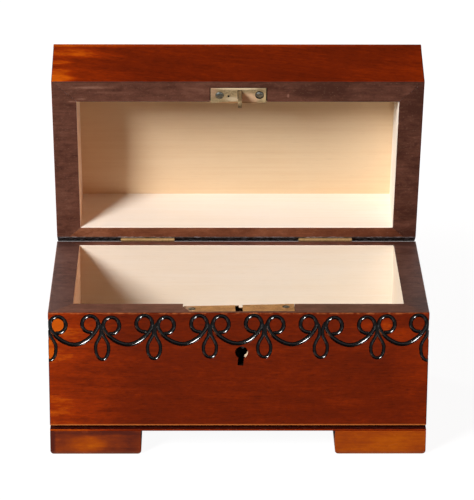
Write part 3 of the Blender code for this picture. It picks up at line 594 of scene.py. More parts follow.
def make_foot_wood(name):
    """The feet are stained more thinly, with orange blotches between darker edges."""
    finish = Finish(name, Roughness=0.25, Specular_IOR_Level=0.25)
    spots = finish.places()
    clouds = finish.noise(spots, (46, 90, 110), 3, 0.55)
    streaks = finish.noise(spots, (34, 500, 500), 3, 0.6)
    mottle = finish.noise(spots, (420, 900, 900), 3, 0.65)
    fine = finish.noise(spots, (80, 2000, 2000), 2, 0.5)
    right = finish.fade(finish.along(spots, "X"), -0.05, 0.05)
    warm = 0.34 + right * 0.34 + (clouds - 0.5) * (1.3 - right * 0.7) + (streaks - 0.5) * 0.4
    warm = finish.patched(warm + (mottle - 0.5) * 0.35, spots, FEET_RUBBED)
    body = finish.mix((fine - 0.4) * 0.4, finish.ramp(warm, *FOOT_STAIN), FOOT_STREAK)
    low = finish.fade(finish.along(spots, "Z"), 0.0022, 0.0008)
    body = finish.mix(low * 0.35, body, FOOT_SCUFF)
    finish.set(Base_Color=body, Roughness=0.2 + clouds * 0.12,
               Normal=finish.bump(streaks + fine * 0.5, 0.00002, 0.4))
    return finish.material


def make_brass(name, bright, dull, metal=1, roughness=0.34, turn=(0, 0, 0), about=(0, 0, 0), worn=()):
    """Stamped brass strip, tarnished in patches and lightly scratched. Listed patches lay colours over it:
    pale filler and dust on the lock's strip, and painted highlights, reflections and shade on the strike and
    hook.
    """
    finish = Finish(name, Metallic=metal, Roughness=roughness)
    spots = finish.places(turn, about)
    patches = finish.noise(spots, (130, 220, 220), 4, 0.6)
    scuffs = finish.noise(spots, (300, 2600, 2600), 3, 0.6)
    grit = finish.noise(spots, (1100, 1100, 1100), 4, 0.75)
    tarnish = finish.fade(patches + (scuffs - 0.5) * 0.5 + (grit - 0.5) * 1.1, 0.3, 0.72)
    tone = finish.mix(tarnish, bright, dull)
    bare = 0
    for middle, reach, look, share in worn:
        spot = finish.fade(finish.patch(spots, middle, reach) + (grit - 0.5) * 1.6, 0.1, 1) * share
        tone = finish.mix(spot, tone, look)
        bare = spot + bare
    relief = finish.bump(scuffs + patches * 2 + grit * 0.8, 0.00006, 0.6)
    finish.set(Base_Color=tone, Metallic=metal - bare * metal * 0.7,
               Roughness=roughness - 0.08 + patches * 0.25, Normal=relief)
    return finish.material


def make_steel(name, bright, dull, roughness=0.3):
    """Plated steel of screws, pins and springs."""
    finish = Finish(name, Metallic=1, Roughness=roughness)
    spots = finish.places()
    patches = finish.noise(spots, (700, 700, 700), 4, 0.6)
    tone = finish.mix(finish.fade(patches, 0.35, 0.7), bright, dull)
    finish.set(Base_Color=tone, Roughness=roughness - 0.06 + patches * 0.2,
               Normal=finish.bump(patches, 0.00004, 0.5))
    return finish.material


LACQUER = make_lacquer("lacquered_wood_front", rubbed=FRONT_RUBBED, worn=True)
SIDE_LACQUER = make_lacquer("lacquered_wood_sides", (0, 0, QUARTER), left=0.1, base=0.36, worn=True)
BOARD_LACQUER = make_lacquer("lacquered_bottom_board", left=0.3, base=0.50)
LID_LACQUER = make_lacquer("lacquered_wood_lid", LID_TURN, HINGE, 0.14, 0.34, LID_RUBBED_AND_TOP_HIGHLIGHT, radians(-12))
LID_SIDE_LACQUER = make_lacquer(
    "lacquered_wood_lid_sides", (LID_OPEN_ANGLE, 0, QUARTER), HINGE, 0.1, 0.36,
)
RIM = make_rim_stain("stained_rim", base=0.4, wiped=RIM_WIPED)
SIDE_RIM = make_rim_stain("stained_side_rim", left=0.3, base=0.27, tint=(0.90, 1.08, 1.30), wiped=RIM_WIPED)
LID_RIM_STAIN = make_rim_stain("stained_lid_rim", LID_TURN, HINGE, 1.7, 0.34, wiped=LID_WIPED)
LID_SIDE_RIM = make_rim_stain("stained_lid_side_rim", LID_TURN, HINGE, 0.9, 0.26, wiped=LID_WIPED[2:4])
LID_BACK_RIM = make_rim_stain("stained_lid_back_rim", LID_TURN, HINGE, 1.2, 0.62, (1.1, 0.88, 0.62))
# Seams: the dark is painted shade in the gaps and the pale flecks are painted light through them. The lid's
# seam is made lighter as painted light, and the board's is stain with painted shade.
SEAM_PAINTED_SHADE_AND_LIGHT = make_seam("seam_painted_shade_and_light", (0.030, 0.019, 0.016), (0.20, 0.17, 0.17), 0.4)
LID_SEAM_PAINTED_LIGHT = make_seam("lid_seam_painted_light", (0.10, 0.075, 0.068), (0.62, 0.58, 0.62), 0.9)
BOARD_SEAM_STAIN_AND_SHADE = make_seam("board_seam_stain_and_shade", (0.045, 0.005, 0.003), (0.10, 0.03, 0.02), 0.5)
BOX_INSIDE = make_raw_wood("raw_wood_box", (0.86, 0.76, 0.64), (0.83, 0.71, 0.56))
LID_INSIDE = make_raw_wood("raw_wood_lid_walls", (0.90, 0.82, 0.73), (0.87, 0.77, 0.65), LID_TURN, HINGE)
CEILING_WOOD = make_raw_wood("raw_wood_lid_board", (0.88, 0.67, 0.44), (0.83, 0.60, 0.37), LID_TURN, HINGE)
BURNT = make_burnt("burnt_stroke")
HOLE_WOOD_PAINTED_SHADE = make_shaded_hole_wood("hole_wood_painted_shade")
FOOT_WOOD = make_foot_wood("lacquered_feet")
LOCK_BRASS = make_brass("lock_brass", (0.70, 0.41, 0.155), (0.44, 0.23, 0.08), 0.6, worn=(
    ((-0.0268, FRONT_Y + 0.0070, RIM_HEIGHT), (0.0055, 0.012, 0.010), (0.60, 0.38, 0.25), 0.75),
))
STRIKE_BRASS_PAINTED_LIGHT = make_brass(
    "strike_brass_painted_light", (0.62, 0.48, 0.27), (0.36, 0.26, 0.13), 0.42, 0.42, LID_TURN, HINGE, (
        ((-0.0140, FRONT_Y + 0.0060, LID_RIM), (0.0045, 0.0080, 0.006), (0.62, 0.36, 0.23), 0.6),
        # A painted reflection over the hook's shadow
        ((0.0055, FRONT_Y + 0.0115, LID_RIM), (0.0090, 0.0060, 0.006), (1.00, 0.66, 0.40), 0.75),
        # A painted highlight
        ((-0.0030, FRONT_Y + 0.0118, LID_RIM), (0.0050, 0.0022, 0.006), (0.90, 0.76, 0.54), 0.6),
        # A painted shadow along the lower edge
        ((0.0000, FRONT_Y + 0.0142, LID_RIM), (0.0200, 0.0012, 0.006), (0.42, 0.20, 0.07), 0.9),
        # A painted highlight along the front edge
        ((0.0000, FRONT_Y + 0.0050, LID_RIM), (0.0170, 0.0012, 0.006), (0.98, 0.80, 0.52), 0.8),
        ((0.0142, FRONT_Y + 0.0105, LID_RIM), (0.0022, 0.0050, 0.006), (0.80, 0.62, 0.32), 0.7),
    ),
)
# The hook's brass is darkened as painted shade. Its patches paint a highlight near the root and light lower
# down.
HOOK_BRASS_PAINTED_LIGHT_AND_SHADE = make_brass(
    "hook_brass_painted_light_and_shade", (0.36, 0.25, 0.12), (0.16, 0.10, 0.045), 0.5, 0.45, LID_TURN, HINGE, (
        ((0.0008, FRONT_Y + 0.0125, LID_RIM - 0.0010), (0.0040, 0.0030, 0.0030), (0.95, 0.84, 0.66), 0.8),
        ((0.0008, FRONT_Y + 0.0140, LID_RIM - 0.0080), (0.0060, 0.0060, 0.0045), (0.80, 0.50, 0.30), 0.8),
    ),
)
HINGE_BRASS = make_brass("hinge_brass", (0.62, 0.39, 0.17), (0.40, 0.25, 0.085), 0.55, 0.38)
# Near-black brass: painted shade inside the lock and in countersinks, slots, the dent and the hook's mouth
# and eye
LOCK_PAINTED_SHADE = make_brass("lock_inside", (0.030, 0.022, 0.013), (0.012, 0.009, 0.006), 1, 0.5)
SCREW_STEEL = make_steel("screw_steel", (0.44, 0.46, 0.42), (0.20, 0.22, 0.19), 0.38)
DARK_STEEL = make_steel("spring_steel", (0.16, 0.16, 0.18), (0.08, 0.08, 0.09))


# ---- hand tools

def moved(across=0, deep=0, up=0):
    return Matrix.Translation((across, deep, up))


def turned(angle, axis):
    return Matrix.Rotation(angle, 4, axis)


def hold(piece):
    """Select this piece alone and make it active."""
    bpy.ops.object.select_all(action="DESELECT")
    piece.select_set(True)
    bpy.context.view_layer.objects.active = piece


def discard(piece):
    bpy.data.objects.remove(piece, do_unlink=True)


def settle(piece, matrix=None):
    """Move a piece by a matrix, then keep its place in its mesh."""
    if matrix is not None:
        piece.matrix_world = matrix @ piece.matrix_world
    hold(piece)
    bpy.ops.object.transform_apply(location=True, rotation=True, scale=True)
    return piece


def name_new(name, *looks):
    """Give the piece just added its name and looks."""
    piece = bpy.context.object
    piece.name = name
    for look in looks:
        piece.data.materials.append(look)
    return settle(piece)


def add_block(name, low, high, *looks):
    """A block between two corners."""
    size = [b - a for a, b in zip(low, high)]
    centre = [(a + b) / 2 for a, b in zip(low, high)]
    bpy.ops.mesh.primitive_cube_add(size=1, location=centre, scale=size)
    return name_new(name, *looks)


def add_rod(name, radius, length, middle, turn, look):
    bpy.ops.mesh.primitive_cylinder_add(
        vertices=ROUND_SIDES, radius=radius, depth=length, location=middle, rotation=turn,
    )
    return name_new(name, look)


def copy_piece(piece, name, matrix):
    """A like piece with a mesh of its own, moved by a matrix."""
    hold(piece)
    bpy.ops.object.duplicate(linked=False)
    copy = bpy.context.object
    copy.name = name
    return settle(copy, matrix)


def pick(piece, kind, test):
    """In edit mode, select the faces or edges that pass a test."""
    hold(piece)
    bpy.ops.object.mode_set(mode="EDIT")
    bpy.ops.mesh.select_mode(type=kind)
    bpy.ops.mesh.select_all(action="DESELECT")
    shape = bmesh.from_edit_mesh(piece.data)
    if kind == "FACE":
        for face in shape.faces:
            face.select_set(test(face.calc_center_median(), face.normal))
    else:
        for edge in shape.edges:
            start, end = (vertex.co for vertex in edge.verts)
            edge.select_set(test((start + end) / 2, end - start))
    bmesh.update_edit_mesh(piece.data)


def pick_all(piece):
    """In edit mode, select everything."""
    hold(piece)
    bpy.ops.object.mode_set(mode="EDIT")
    bpy.ops.mesh.select_all(action="SELECT")


def leave_edit():
    bpy.ops.object.mode_set(mode="OBJECT")


def extrude(reach):
    bpy.ops.mesh.extrude_region_move(TRANSFORM_OT_translate={"value": reach})


def round_edges(piece, width, steps, test):
    """Round the edges whose middle and run pass a test."""
    pick(piece, "EDGE", test)
    bpy.ops.mesh.bevel(offset=width, segments=steps, affect="EDGES")
    leave_edit()


def saw(piece, point, facing):
    """Cut a piece by a plane and drop what lies on the side that the plane faces."""
    pick_all(piece)
    bpy.ops.mesh.bisect(plane_co=point, plane_no=facing, use_fill=True, clear_outer=True)
    bpy.ops.mesh.select_all(action="SELECT")
    bpy.ops.mesh.delete_loose(use_faces=False)
    leave_edit()


def put_modifier(piece, kind, **settings):
    step = piece.modifiers.new(kind.lower(), kind)
    for name, value in settings.items():
        setattr(step, name, value)
    hold(piece)
    bpy.ops.object.modifier_apply(modifier=step.name)


def soften(piece, width, steps=2):
    """Take the sharpness off every arris."""
    put_modifier(piece, "BEVEL", width=width, segments=steps, limit_method="ANGLE")


def combine(piece, other, way):
    """Join a piece to another, or take it away, so that the faces it leaves keep its finish."""
    put_modifier(piece, "BOOLEAN", object=other, operation=way, solver="EXACT", material_mode="TRANSFER")
    discard(other)


def carve(piece, *cutters):
    for cutter in cutters:
        combine(piece, cutter, "DIFFERENCE")


def paint(piece, *rules):
    """Give the faces that pass a test the look of that number."""
    for number, test in rules:
        for face in piece.data.polygons:
            if test(face.center, face.normal):
                face.material_index = number


def turn_round(name, profile, look, sides=ROUND_SIDES):
    """A round piece drawn out ring by ring from a disc, from its top down."""
    radius, height = profile[0]
    bpy.ops.mesh.primitive_circle_add(
        vertices=sides, radius=radius, fill_type="NGON", location=(0, 0, height),
    )
    piece = name_new(name, look)
    pick(piece, "FACE", lambda middle, facing: True)
    for next_radius, next_height in profile[1:]:
        extrude((0, 0, next_height - height))
        share = next_radius / radius
        bpy.ops.transform.resize(value=(share, share, 1), center_override=(0, 0, next_height))
        radius, height = next_radius, next_height
    bpy.ops.mesh.select_all(action="SELECT")
    bpy.ops.mesh.normals_make_consistent(inside=False)
    leave_edit()
    return piece


def fit(piece, node, body):
    """Smooth over a finished piece's small steps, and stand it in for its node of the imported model."""
    hold(piece)
    bpy.ops.object.shade_smooth_by_angle(angle=SMOOTH_ANGLE)
    put_modifier(piece, "WEIGHTED_NORMAL", keep_sharp=True)
    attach(piece, body)
    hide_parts(node)


# A closed lid's pieces swing back to its stop. The brass strip sits a little more askew than the lock.
LID_SWING = moved(*HINGE) @ turned(-LID_OPEN_ANGLE, "X") @ moved(*-HINGE)
LOCK_PLACE = moved(*LOCK_SPOT) @ turned(-LOCK_TILT, "Y")
STRIP_PLACE = moved(*LOCK_SPOT) @ turned(STRIP_TURN, "Z") @ turned(-STRIP_TILT, "Y")
STRIKE_PLACE = LID_SWING @ moved(*STRIKE_SPOT)


# ---- walls

SIDES = {"front": (0, -1), "right": (1, 0), "back": (0, 1), "left": (-1, 0)}
MIDDLE = Vector((0, MIDDLE_Y, 0))


def wall_lines(side):
    """The way a wall faces, the line along it and how far its outside is from the middle."""
    out = Vector((*SIDES[side], 0))
    return out, Vector((-out.y, out.x, 0)), BOX_DEPTH / 2 if out.y else SIDE_X


def make_shell(name, low_z, high_z, rim_up, *looks):
    """Four walls in one ring: a block pierced from rim to foot, planed at the back and softened."""
    is_lid = rim_up < 0
    shell = add_block(name, (-SIDE_X, FRONT_Y, low_z), (SIDE_X, BACK_Y, high_z), *looks)
    pick(shell, "FACE", lambda middle, facing: abs(facing.z) > SQUARE_ON)
    bpy.ops.mesh.inset(thickness=WALL_THICKNESS, use_individual=True)
    bpy.ops.mesh.bridge_edge_loops()
    leave_edit()
    if is_lid:
        thicken_lid(shell)
    start = CHAMFER_START_Y + (LID_CHAMFER_SHIFT if is_lid else 0)
    slope = (0, sin(CHAMFER_ANGLE), rim_up * cos(CHAMFER_ANGLE))
    saw(shell, (0, start, low_z if is_lid else high_z), slope)

    def is_arris(middle, run):
        inside_corner = abs(middle.x) < SIDE_X - OVERRUN and abs(run.z) > abs(run.x) + abs(run.y) and (
            FRONT_Y + OVERRUN < middle.y < BACK_Y - OVERRUN)
        board_end = is_lid and middle.z > high_z - OVERRUN / 2
        chamfer_end = is_lid and middle.y > BACK_Y - OVERRUN / 2 and abs(run.x) > SIDE_X
        return not (inside_corner or board_end or chamfer_end)

    round_edges(shell, ARRIS, ARRIS_STEPS, is_arris)
    return shell


def thicken_lid(shell):
    """The lid's walls are a little thicker than the box's, the front one most."""
    for side, extra in LID_EXTRAS.items():
        out, _, depth = wall_lines(side)
        pick(shell, "FACE", lambda middle, facing: facing.dot(out) < -SQUARE_ON
             and 0 < (middle - MIDDLE).dot(out) < depth - OVERRUN)
        bpy.ops.transform.translate(value=-out * extra)
        leave_edit()


def part_wall(shell, name, side):
    """One mitred wall sawn out of the ring."""
    out, along, depth = wall_lines(side)
    reach = (BOX_WIDTH if out.y else BOX_DEPTH) / 2
    wall = copy_piece(shell, name, Matrix())
    for end in (-1, 1):
        corner = MIDDLE + out * depth + along * reach * end
        facing = (along * end - out).normalized()
        saw(wall, corner - facing * MITRE_GAP, facing)
    saw(wall, MIDDLE, -out)
    return wall


def paint_wall(wall, side, rim_up, extra=0):
    """Raw within, stained on the rim, lacquered outside, and given the seam's painted shade on the back slope
    and in the mitres.
    """
    out, along, depth = wall_lines(side)
    face = MIDDLE.dot(out) + depth
    inner_line = face - WALL_THICKNESS - extra + RAW_EDGE
    paint(
        wall,
        (2, lambda spot, facing: spot.dot(out) < face - OVERRUN),
        (1, lambda spot, facing: facing.z * rim_up > RIM_FACING and spot.dot(out) > inner_line),
        (0, lambda spot, facing: spot.dot(out) > face - LACQUER_EDGE and facing.z * rim_up < LACQUER_FACING),
        (0, lambda spot, facing: facing.z * rim_up < -SQUARE_ON),
        # The back slope and the mitres take the seam finish: painted shade, with flecks of painted light
        (3, lambda spot, facing: facing.y > SLOPE_FACING and facing.z * rim_up > RIM_FACING
         and spot.y > CHAMFER_START_Y - ARRIS),
        (3, lambda spot, facing: MITRE_FACING[0] < abs(facing.dot(along)) < MITRE_FACING[1]
         and abs(facing.z) < LEVEL and spot.dot(out) < face - ARRIS),
    )


def curl_spot(middle, hand, angle):
    """A place on the oval line of a curl."""
    return (middle[0] + hand * CURL_HALF_WIDTH * cos(angle), -middle[1] + CURL_HALF_HEIGHT * sin(angle))


def curl_stroke(middle, hand):
    """A curl round its middle, from its free end to a little past the garland's start."""
    angles = (CURL_START + (CURL_END - CURL_START) * step / CURL_STEPS for step in range(CURL_STEPS + 3))
    return taper([curl_spot(middle, hand, angle) for angle in angles], CURL_STROKE)


def garland_side(middle, hand, low):
    """Half a garland, from the near side of a curl down to its lowest point."""
    start = Vector(curl_spot(middle, hand, CURL_END))
    handle = abs(low.x - start.x) * GARLAND_HANDLE_SHARE
    heading = Vector((-sin(CURL_END) * hand, cos(CURL_END)))
    bend = low - Vector((hand * handle, 0))
    spots = interpolate_bezier(start, start + heading * handle, bend, low, GARLAND_STEPS)
    half = []
    for step, spot in enumerate(spots):
        swell = min(1, 2 * step / GARLAND_STEPS)
        width = CURL_STROKE * GARLAND_START + (GARLAND_STROKE - CURL_STROKE) * swell
        half.append(((spot.x, spot.y), width))
    return half


def garland_stroke(left, right, depth):
    """The garland that hangs between the far sides of two curls."""
    low = Vector(((left[0] + right[0]) / 2, -depth))
    return garland_side(left, 1, low) + garland_side(right, -1, low)[-2::-1]


def drop_stroke(row, hand):
    """One side of the loop under a node, from beside its curl to a little past the loop's bottom."""
    node, bottom, left, right = row
    curl = left if hand < 0 else right
    near = CORNER_REACH if curl is None else abs(curl[0] - node) - CURL_HALF_WIDTH
    widest = Vector((DROP_HALF_WIDTH, -DROP_WIDEST))
    foot = Vector((0, -bottom))
    hip = widest + Vector((0, (foot.y - widest.y) * DROP_HIP_SHARE))
    tip = foot + Vector((DROP_HALF_WIDTH * DROP_TIP_SHARE, 0))
    top = Vector((near * DROP_TOP_SHARE, -DROP_TOP))
    neck, shoulder = (Vector((across, -down)) for across, down in (DROP_NECK, DROP_SHOULDER))
    side = interpolate_bezier(top, neck, shoulder, widest, DROP_STEPS)
    side += interpolate_bezier(widest, hip, tip, foot, DROP_STEPS)[1:]
    side = [(spot.x, spot.y) for spot in side]
    side += [(-across, up) for across, up in (side[-2], side[-3])]
    return taper([(node + hand * across, up) for across, up in side], DROP_STROKE * (1 + DROP_UNLIKE * hand))


def taper(spots, width):
    """A stroke of even width with rounded ends."""
    shares = (*STROKE_START, *[1] * (len(spots) - 4), *STROKE_END)
    return [(spot, width * share) for spot, share in zip(spots, shares)]


def make_stroke_cutter(name, strokes, matrix):
    """Round strokes laid along a face, which leave a groove where they dip into it."""
    curve = bpy.data.curves.new(name, "CURVE")
    curve.dimensions = "2D"
    curve.fill_mode = "NONE"
    curve.bevel_depth = 1
    curve.bevel_resolution = STROKE_ROUNDNESS
    curve.use_fill_caps = True
    for stroke in strokes:
        spline = curve.splines.new("POLY")
        spline.points.add(len(stroke) - 1)
        for point, ((across, up), width) in zip(spline.points, stroke):
            point.co = (across, up, 0, 1)
            point.radius = width
    cutter = bpy.data.objects.new(name, curve)
    bpy.context.scene.collection.objects.link(cutter)
    curve.materials.append(BURNT)
    hold(cutter)
    bpy.ops.object.convert(target="MESH")
    cutter = bpy.context.object
    pick_all(cutter)
    bpy.ops.mesh.remove_doubles(threshold=MERGE_DISTANCE)
    bpy.ops.mesh.normals_make_consistent(inside=False)
    leave_edit()
    return settle(cutter, matrix @ moved(deep=-STROKE_LIFT) @ turned(QUARTER, "X"))


def burn_border(wall, side, rows, garlands):
    """The scroll border along the top of one face, running out over its corners."""
    out, _, depth = wall_lines(side)
    spot = Vector((0, MIDDLE_Y, RIM_HEIGHT)) + out * depth
    matrix = moved(*spot) @ turned(atan2(out.y, out.x) + QUARTER, "Z")
    lefts = [row[3] for row in rows[:-1]]
    rights = [row[2] for row in rows[1:]]
    sets = {
        "left_curls": [curl_stroke(middle, 1) for middle in lefts],
        "right_curls": [curl_stroke(middle, -1) for middle in rights],
        "garlands": [garland_stroke(*span) for span in zip(lefts, rights, garlands)],
        "left_drops": [drop_stroke(row, -1) for row in rows],
        "right_drops": [drop_stroke(row, 1) for row in rows],
    }
    for name, strokes in sets.items():
        carve(wall, make_stroke_cutter(name, strokes, matrix))


def cut_lock_seat(wall):
    """The recess of the lock's strip, the pocket of its case and the keyhole."""
    # The faces these cutters leave take the hole wood's painted shade
    seat = make_strip("lock_seat", RECESS_GAP, HOLE_WOOD_PAINTED_SHADE)
    saw(seat, Vector(CHEWED_CORNER) + Vector(CHEWED_FACING) * RECESS_GAP, CHEWED_FACING)
    low = (-CASE_HALF, CASE_FRONT, -CASE_DEEP)
    pocket = add_block("case_seat", low, (CASE_HALF, WALL_THICKNESS + OVERRUN, OVERRUN), HOLE_WOOD_PAINTED_SHADE)
    middle = (KEYHOLE_X, (KEYHOLE_DEPTH - OVERRUN) / 2, KEYHOLE_Z)
    eye = add_rod("keyhole", KEYHOLE_RADIUS, KEYHOLE_DEPTH + OVERRUN, middle, (QUARTER, 0, 0), HOLE_WOOD_PAINTED_SHADE)
    half = KEYHOLE_SLOT / 2
    low = (-half, -OVERRUN, KEYHOLE_FOOT - KEYHOLE_Z)
    slot = add_block("keyhole_slot", low, (half, KEYHOLE_DEPTH, 0), HOLE_WOOD_PAINTED_SHADE)
    lean = moved(KEYHOLE_X, 0, KEYHOLE_Z) @ turned(KEYHOLE_LEAN, "Y")
    carve(wall, settle(seat, STRIP_PLACE), settle(pocket, LOCK_PLACE), settle(eye, LOCK_PLACE),
          settle(slot, LOCK_PLACE @ lean))


def make_box_walls():
    shell = make_shell("walls", WALL_LOW, RIM_HEIGHT, 1, LACQUER, RIM, BOX_INSIDE, SEAM_PAINTED_SHADE_AND_LIGHT)
    names = {"front": "carved_front", "right": "carved_right", "back": "plain_back", "left": "carved_left"}
    for side, name in names.items():
        wall = part_wall(shell, name, side)
        paint_wall(wall, side, 1)
        if side in ("left", "right"):
            wall.data.materials[0] = SIDE_LACQUER
            wall.data.materials[1] = SIDE_RIM
            burn_border(wall, side, SIDE_SCROLLS, SIDE_GARLANDS)
        if side == "front":
            cut_lock_seat(wall)
            burn_border(wall, side, FRONT_SCROLLS, FRONT_GARLANDS)
        fit(wall, side + "_panel", "box_body")
    discard(shell)


def make_lid_walls():
    looks = (LID_LACQUER, LID_RIM_STAIN, LID_INSIDE, LID_SEAM_PAINTED_LIGHT)
    shell = make_shell("lid_walls", LID_RIM, LID_WALL_TOP, -1, *looks)
    for side in SIDES:
        wall = part_wall(shell, f"lid_{side}_wall", side)
        paint_wall(wall, side, -1, LID_EXTRAS[side])
        if side in ("left", "right"):
            wall.data.materials[0] = LID_SIDE_LACQUER
            wall.data.materials[1] = LID_SIDE_RIM
        if side == "back":
            wall.data.materials[1] = LID_BACK_RIM
        settle(wall, LID_SWING)
        if side == "front":
            reach = STRIKE_LENGTH / 2 + STRIKE_END_GAP
            low = (-reach, STRIKE_FRONT - STRIKE_FRONT_GAP, -OVERRUN)
            high = (reach, STRIKE_BACK + OVERRUN, STRIKE_THICKNESS + RECESS_GAP)
            # The strike's seat takes the hole wood's painted shade
            carve(wall, settle(add_block("strike_seat", low, high, HOLE_WOOD_PAINTED_SHADE), STRIKE_PLACE))
        fit(wall, f"lid_{side}_panel", "lid")
    discard(shell)


def make_lid_board():
    low, high = (-SIDE_X, FRONT_Y, LID_WALL_TOP), (SIDE_X, BACK_Y, LID_TOP)
    board = add_block("lid_board", low, high, LID_LACQUER, CEILING_WOOD)
    round_edges(board, LID_BOARD_ROUNDING, LID_BOARD_STEPS, lambda middle, run: middle.z > LID_TOP - OVERRUN)
    paint(board, (1, lambda spot, facing: facing.z < -SQUARE_ON and abs(spot.x) < SIDE_X / 2
                  and abs(spot.y - MIDDLE_Y) < BOX_DEPTH / 4))
    fit(settle(board, LID_SWING), "lid_top_board", "lid")


def make_bottom_board():
    """The bottom board: a lip flush with the walls, and a step up into the shadow line."""
    low, high = (-SIDE_X, FRONT_Y, BOARD_LOW), (SIDE_X, BACK_Y, BOARD_LIP_TOP)
    board = add_block("floor_board", low, high, BOARD_LACQUER, BOX_INSIDE, BOARD_SEAM_STAIN_AND_SHADE)
    pick(board, "FACE", lambda middle, facing: facing.z > SQUARE_ON)
    bpy.ops.mesh.inset(thickness=BOARD_RECESS)
    extrude((0, 0, BOARD_TOP - BOARD_LIP_TOP))
    leave_edit()
    soften(board, BOARD_ARRIS)
    # The step into the shadow line takes the board's seam finish: stain with painted shade
    paint(
        board,
        (2, lambda spot, facing: spot.z > BOARD_LIP_TOP - BOARD_ARRIS / 4),
        (1, lambda spot, facing: facing.z > SQUARE_ON and spot.z > BOARD_TOP - BOARD_ARRIS),
    )
    fit(board, "bottom_board", "box_body")


def make_feet():
    corner = Vector((-SIDE_X, FRONT_Y, 0))
    foot = add_block("foot", corner, corner + Vector((FOOT_WIDTH, FOOT_DEPTH, FOOT_HEIGHT)), FOOT_WOOD)
    round_edges(foot, FOOT_ROUNDING, FOOT_STEPS, lambda middle, run: middle.z < OVERRUN
                and abs(run.y) > OVERRUN)
    soften(foot, ARRIS)
    for row, back in (("front", 0), ("back", BOX_DEPTH - FOOT_DEPTH)):
        for hand, across in (("left", 0), ("right", BOX_WIDTH - FOOT_WIDTH)):
            copy = copy_piece(foot, f"{row}_{hand}_foot", moved(across, back))
            fit(copy, f"foot_{row}_{hand}", "box_body")
    discard(foot)


# ---- lock, strike and hinges

def make_strip(name, ease, look):
    """One brass strip bent along the rim and down the inside, with ease all round for its recess."""
    half = PLATE_LENGTH / 2 + ease
    inner = WALL_THICKNESS - PLATE_THICKNESS - ease
    fold = -STRIP_SINK - PLATE_THICKNESS - ease
    back = WALL_THICKNESS + (OVERRUN if ease else 0)
    top = -STRIP_SINK + (PLATE_LENGTH * tan(STRIP_TILT) + OVERRUN if ease else 0)
    strip = add_block(name, (-half, inner, -STRIP_SINK - PLATE_HEIGHT - ease), (half, back, top), look)
    pick_all(strip)
    bpy.ops.mesh.bisect(plane_co=(0, 0, fold), plane_no=(0, 0, 1))
    leave_edit()
    pick(strip, "FACE", lambda middle, facing: facing.y < -SQUARE_ON and middle.z > fold)
    extrude((0, SELVAGE_FRONT - ease - inner, 0))
    leave_edit()
    return strip


def make_screw(name, head, head_depth, dome, shank, length, slotted=True):
    """A countersunk screw with its head's face at zero height, slightly domed."""
    profile = [(head * share, dome * rise) for share, rise in SCREW_DOME]
    profile += [
        (head * SCREW_EDGE[0], -head_depth * SCREW_EDGE[1]), (shank, -head_depth),
        (shank, 2 * shank - length), (shank * SCREW_TIP, -length),
    ]
    screw = turn_round(name, profile, SCREW_STEEL)
    if slotted:
        half, width = head * SCREW_SLOT[0], head * SCREW_SLOT[1]
        low = (-half, -width, -head_depth * SCREW_SLOT[2])
        carve(screw, add_block("slot", low, (half, width, OVERRUN), SCREW_STEEL))
    return screw


def sink_cutter(radius, depth, look, place):
    """The cone of a countersink and the hole below it."""
    hole, end = radius * SINK_HOLE[0], radius * SINK_HOLE[1]
    profile = [(radius, OVERRUN), (radius, 0), (hole, -depth), (end, -SINK_LENGTH)]
    return settle(turn_round("sink", profile, look), place)


def place_screws(screw, places, body):
    """Copy one finished screw to each place of its node."""
    for node, place in places.items():
        fit(copy_piece(screw, node.replace("screw", "fixing"), place), node, body)


def make_lock():
    plate = make_strip("lock_strip", 0, LOCK_BRASS)
    # Its second look is the near-black painted shade, for the hook slot, the countersinks and the hidden
    # faces
    plate.data.materials.append(LOCK_PAINTED_SHADE)
    saw(plate, CHEWED_CORNER, CHEWED_FACING)
    round_edges(plate, FOLD_ROUNDING, FOLD_STEPS, lambda middle, run: middle.z > -STRIP_SINK - OVERRUN / 10
                and middle.y > WALL_THICKNESS - OVERRUN / 10)
    soften(plate, METAL_ARRIS)
    half = SLOT_WIDTH / 2
    inner = WALL_THICKNESS - PLATE_THICKNESS
    outer = WALL_THICKNESS + OVERRUN
    under = -STRIP_SINK - PLATE_THICKNESS - OVERRUN
    near = inner - METAL_ARRIS
    for name, low, high, look in (
        ("hook_slot", (-half, SLOT_FRONT, under), (half, inner + METAL_ARRIS, OVERRUN), LOCK_PAINTED_SHADE),
        ("slot_mouth", (-half, near, -STRIP_SINK - SLOT_DROP), (half, outer, OVERRUN), LOCK_BRASS),
        ("slot_corner", (0, near, -STRIP_SINK - SLOT_CORNER_DROP), (half, outer, OVERRUN), LOCK_BRASS),
    ):
        carve(plate, add_block(name, low, high, look))
    paint(plate, (1, lambda spot, facing: facing.z < -SQUARE_ON
                  or (facing.y < -SQUARE_ON and spot.y > inner - OVERRUN)))
    rows = {"rim": {}, "inside": {}}
    for end, (across, spin, tip) in LOCK_SCREWS.items():
        rows["rim"][end] = moved(across, RIM_SCREW_Y, -STRIP_SINK) @ turned(tip, "Y") @ turned(spin, "Z")
        inside = moved(across, WALL_THICKNESS, PLATE_SCREW_Z) @ turned(-QUARTER, "X")
        rows["inside"][end] = inside @ turned(spin, "Z")
    for ends in rows.values():
        for place in ends.values():
            carve(plate, sink_cutter(*LOCK_SINK, LOCK_PAINTED_SHADE, place))
    fit(settle(plate, STRIP_PLACE), "lock_plate", "box_body")
    screw = make_screw("lock_screw", *LOCK_SCREW)
    for end in LOCK_SCREWS:
        places = {f"lock_{row}_screw_{end}": STRIP_PLACE @ ends[end] for row, ends in rows.items()}
        place_screws(screw, places, "box_body")
    discard(screw)


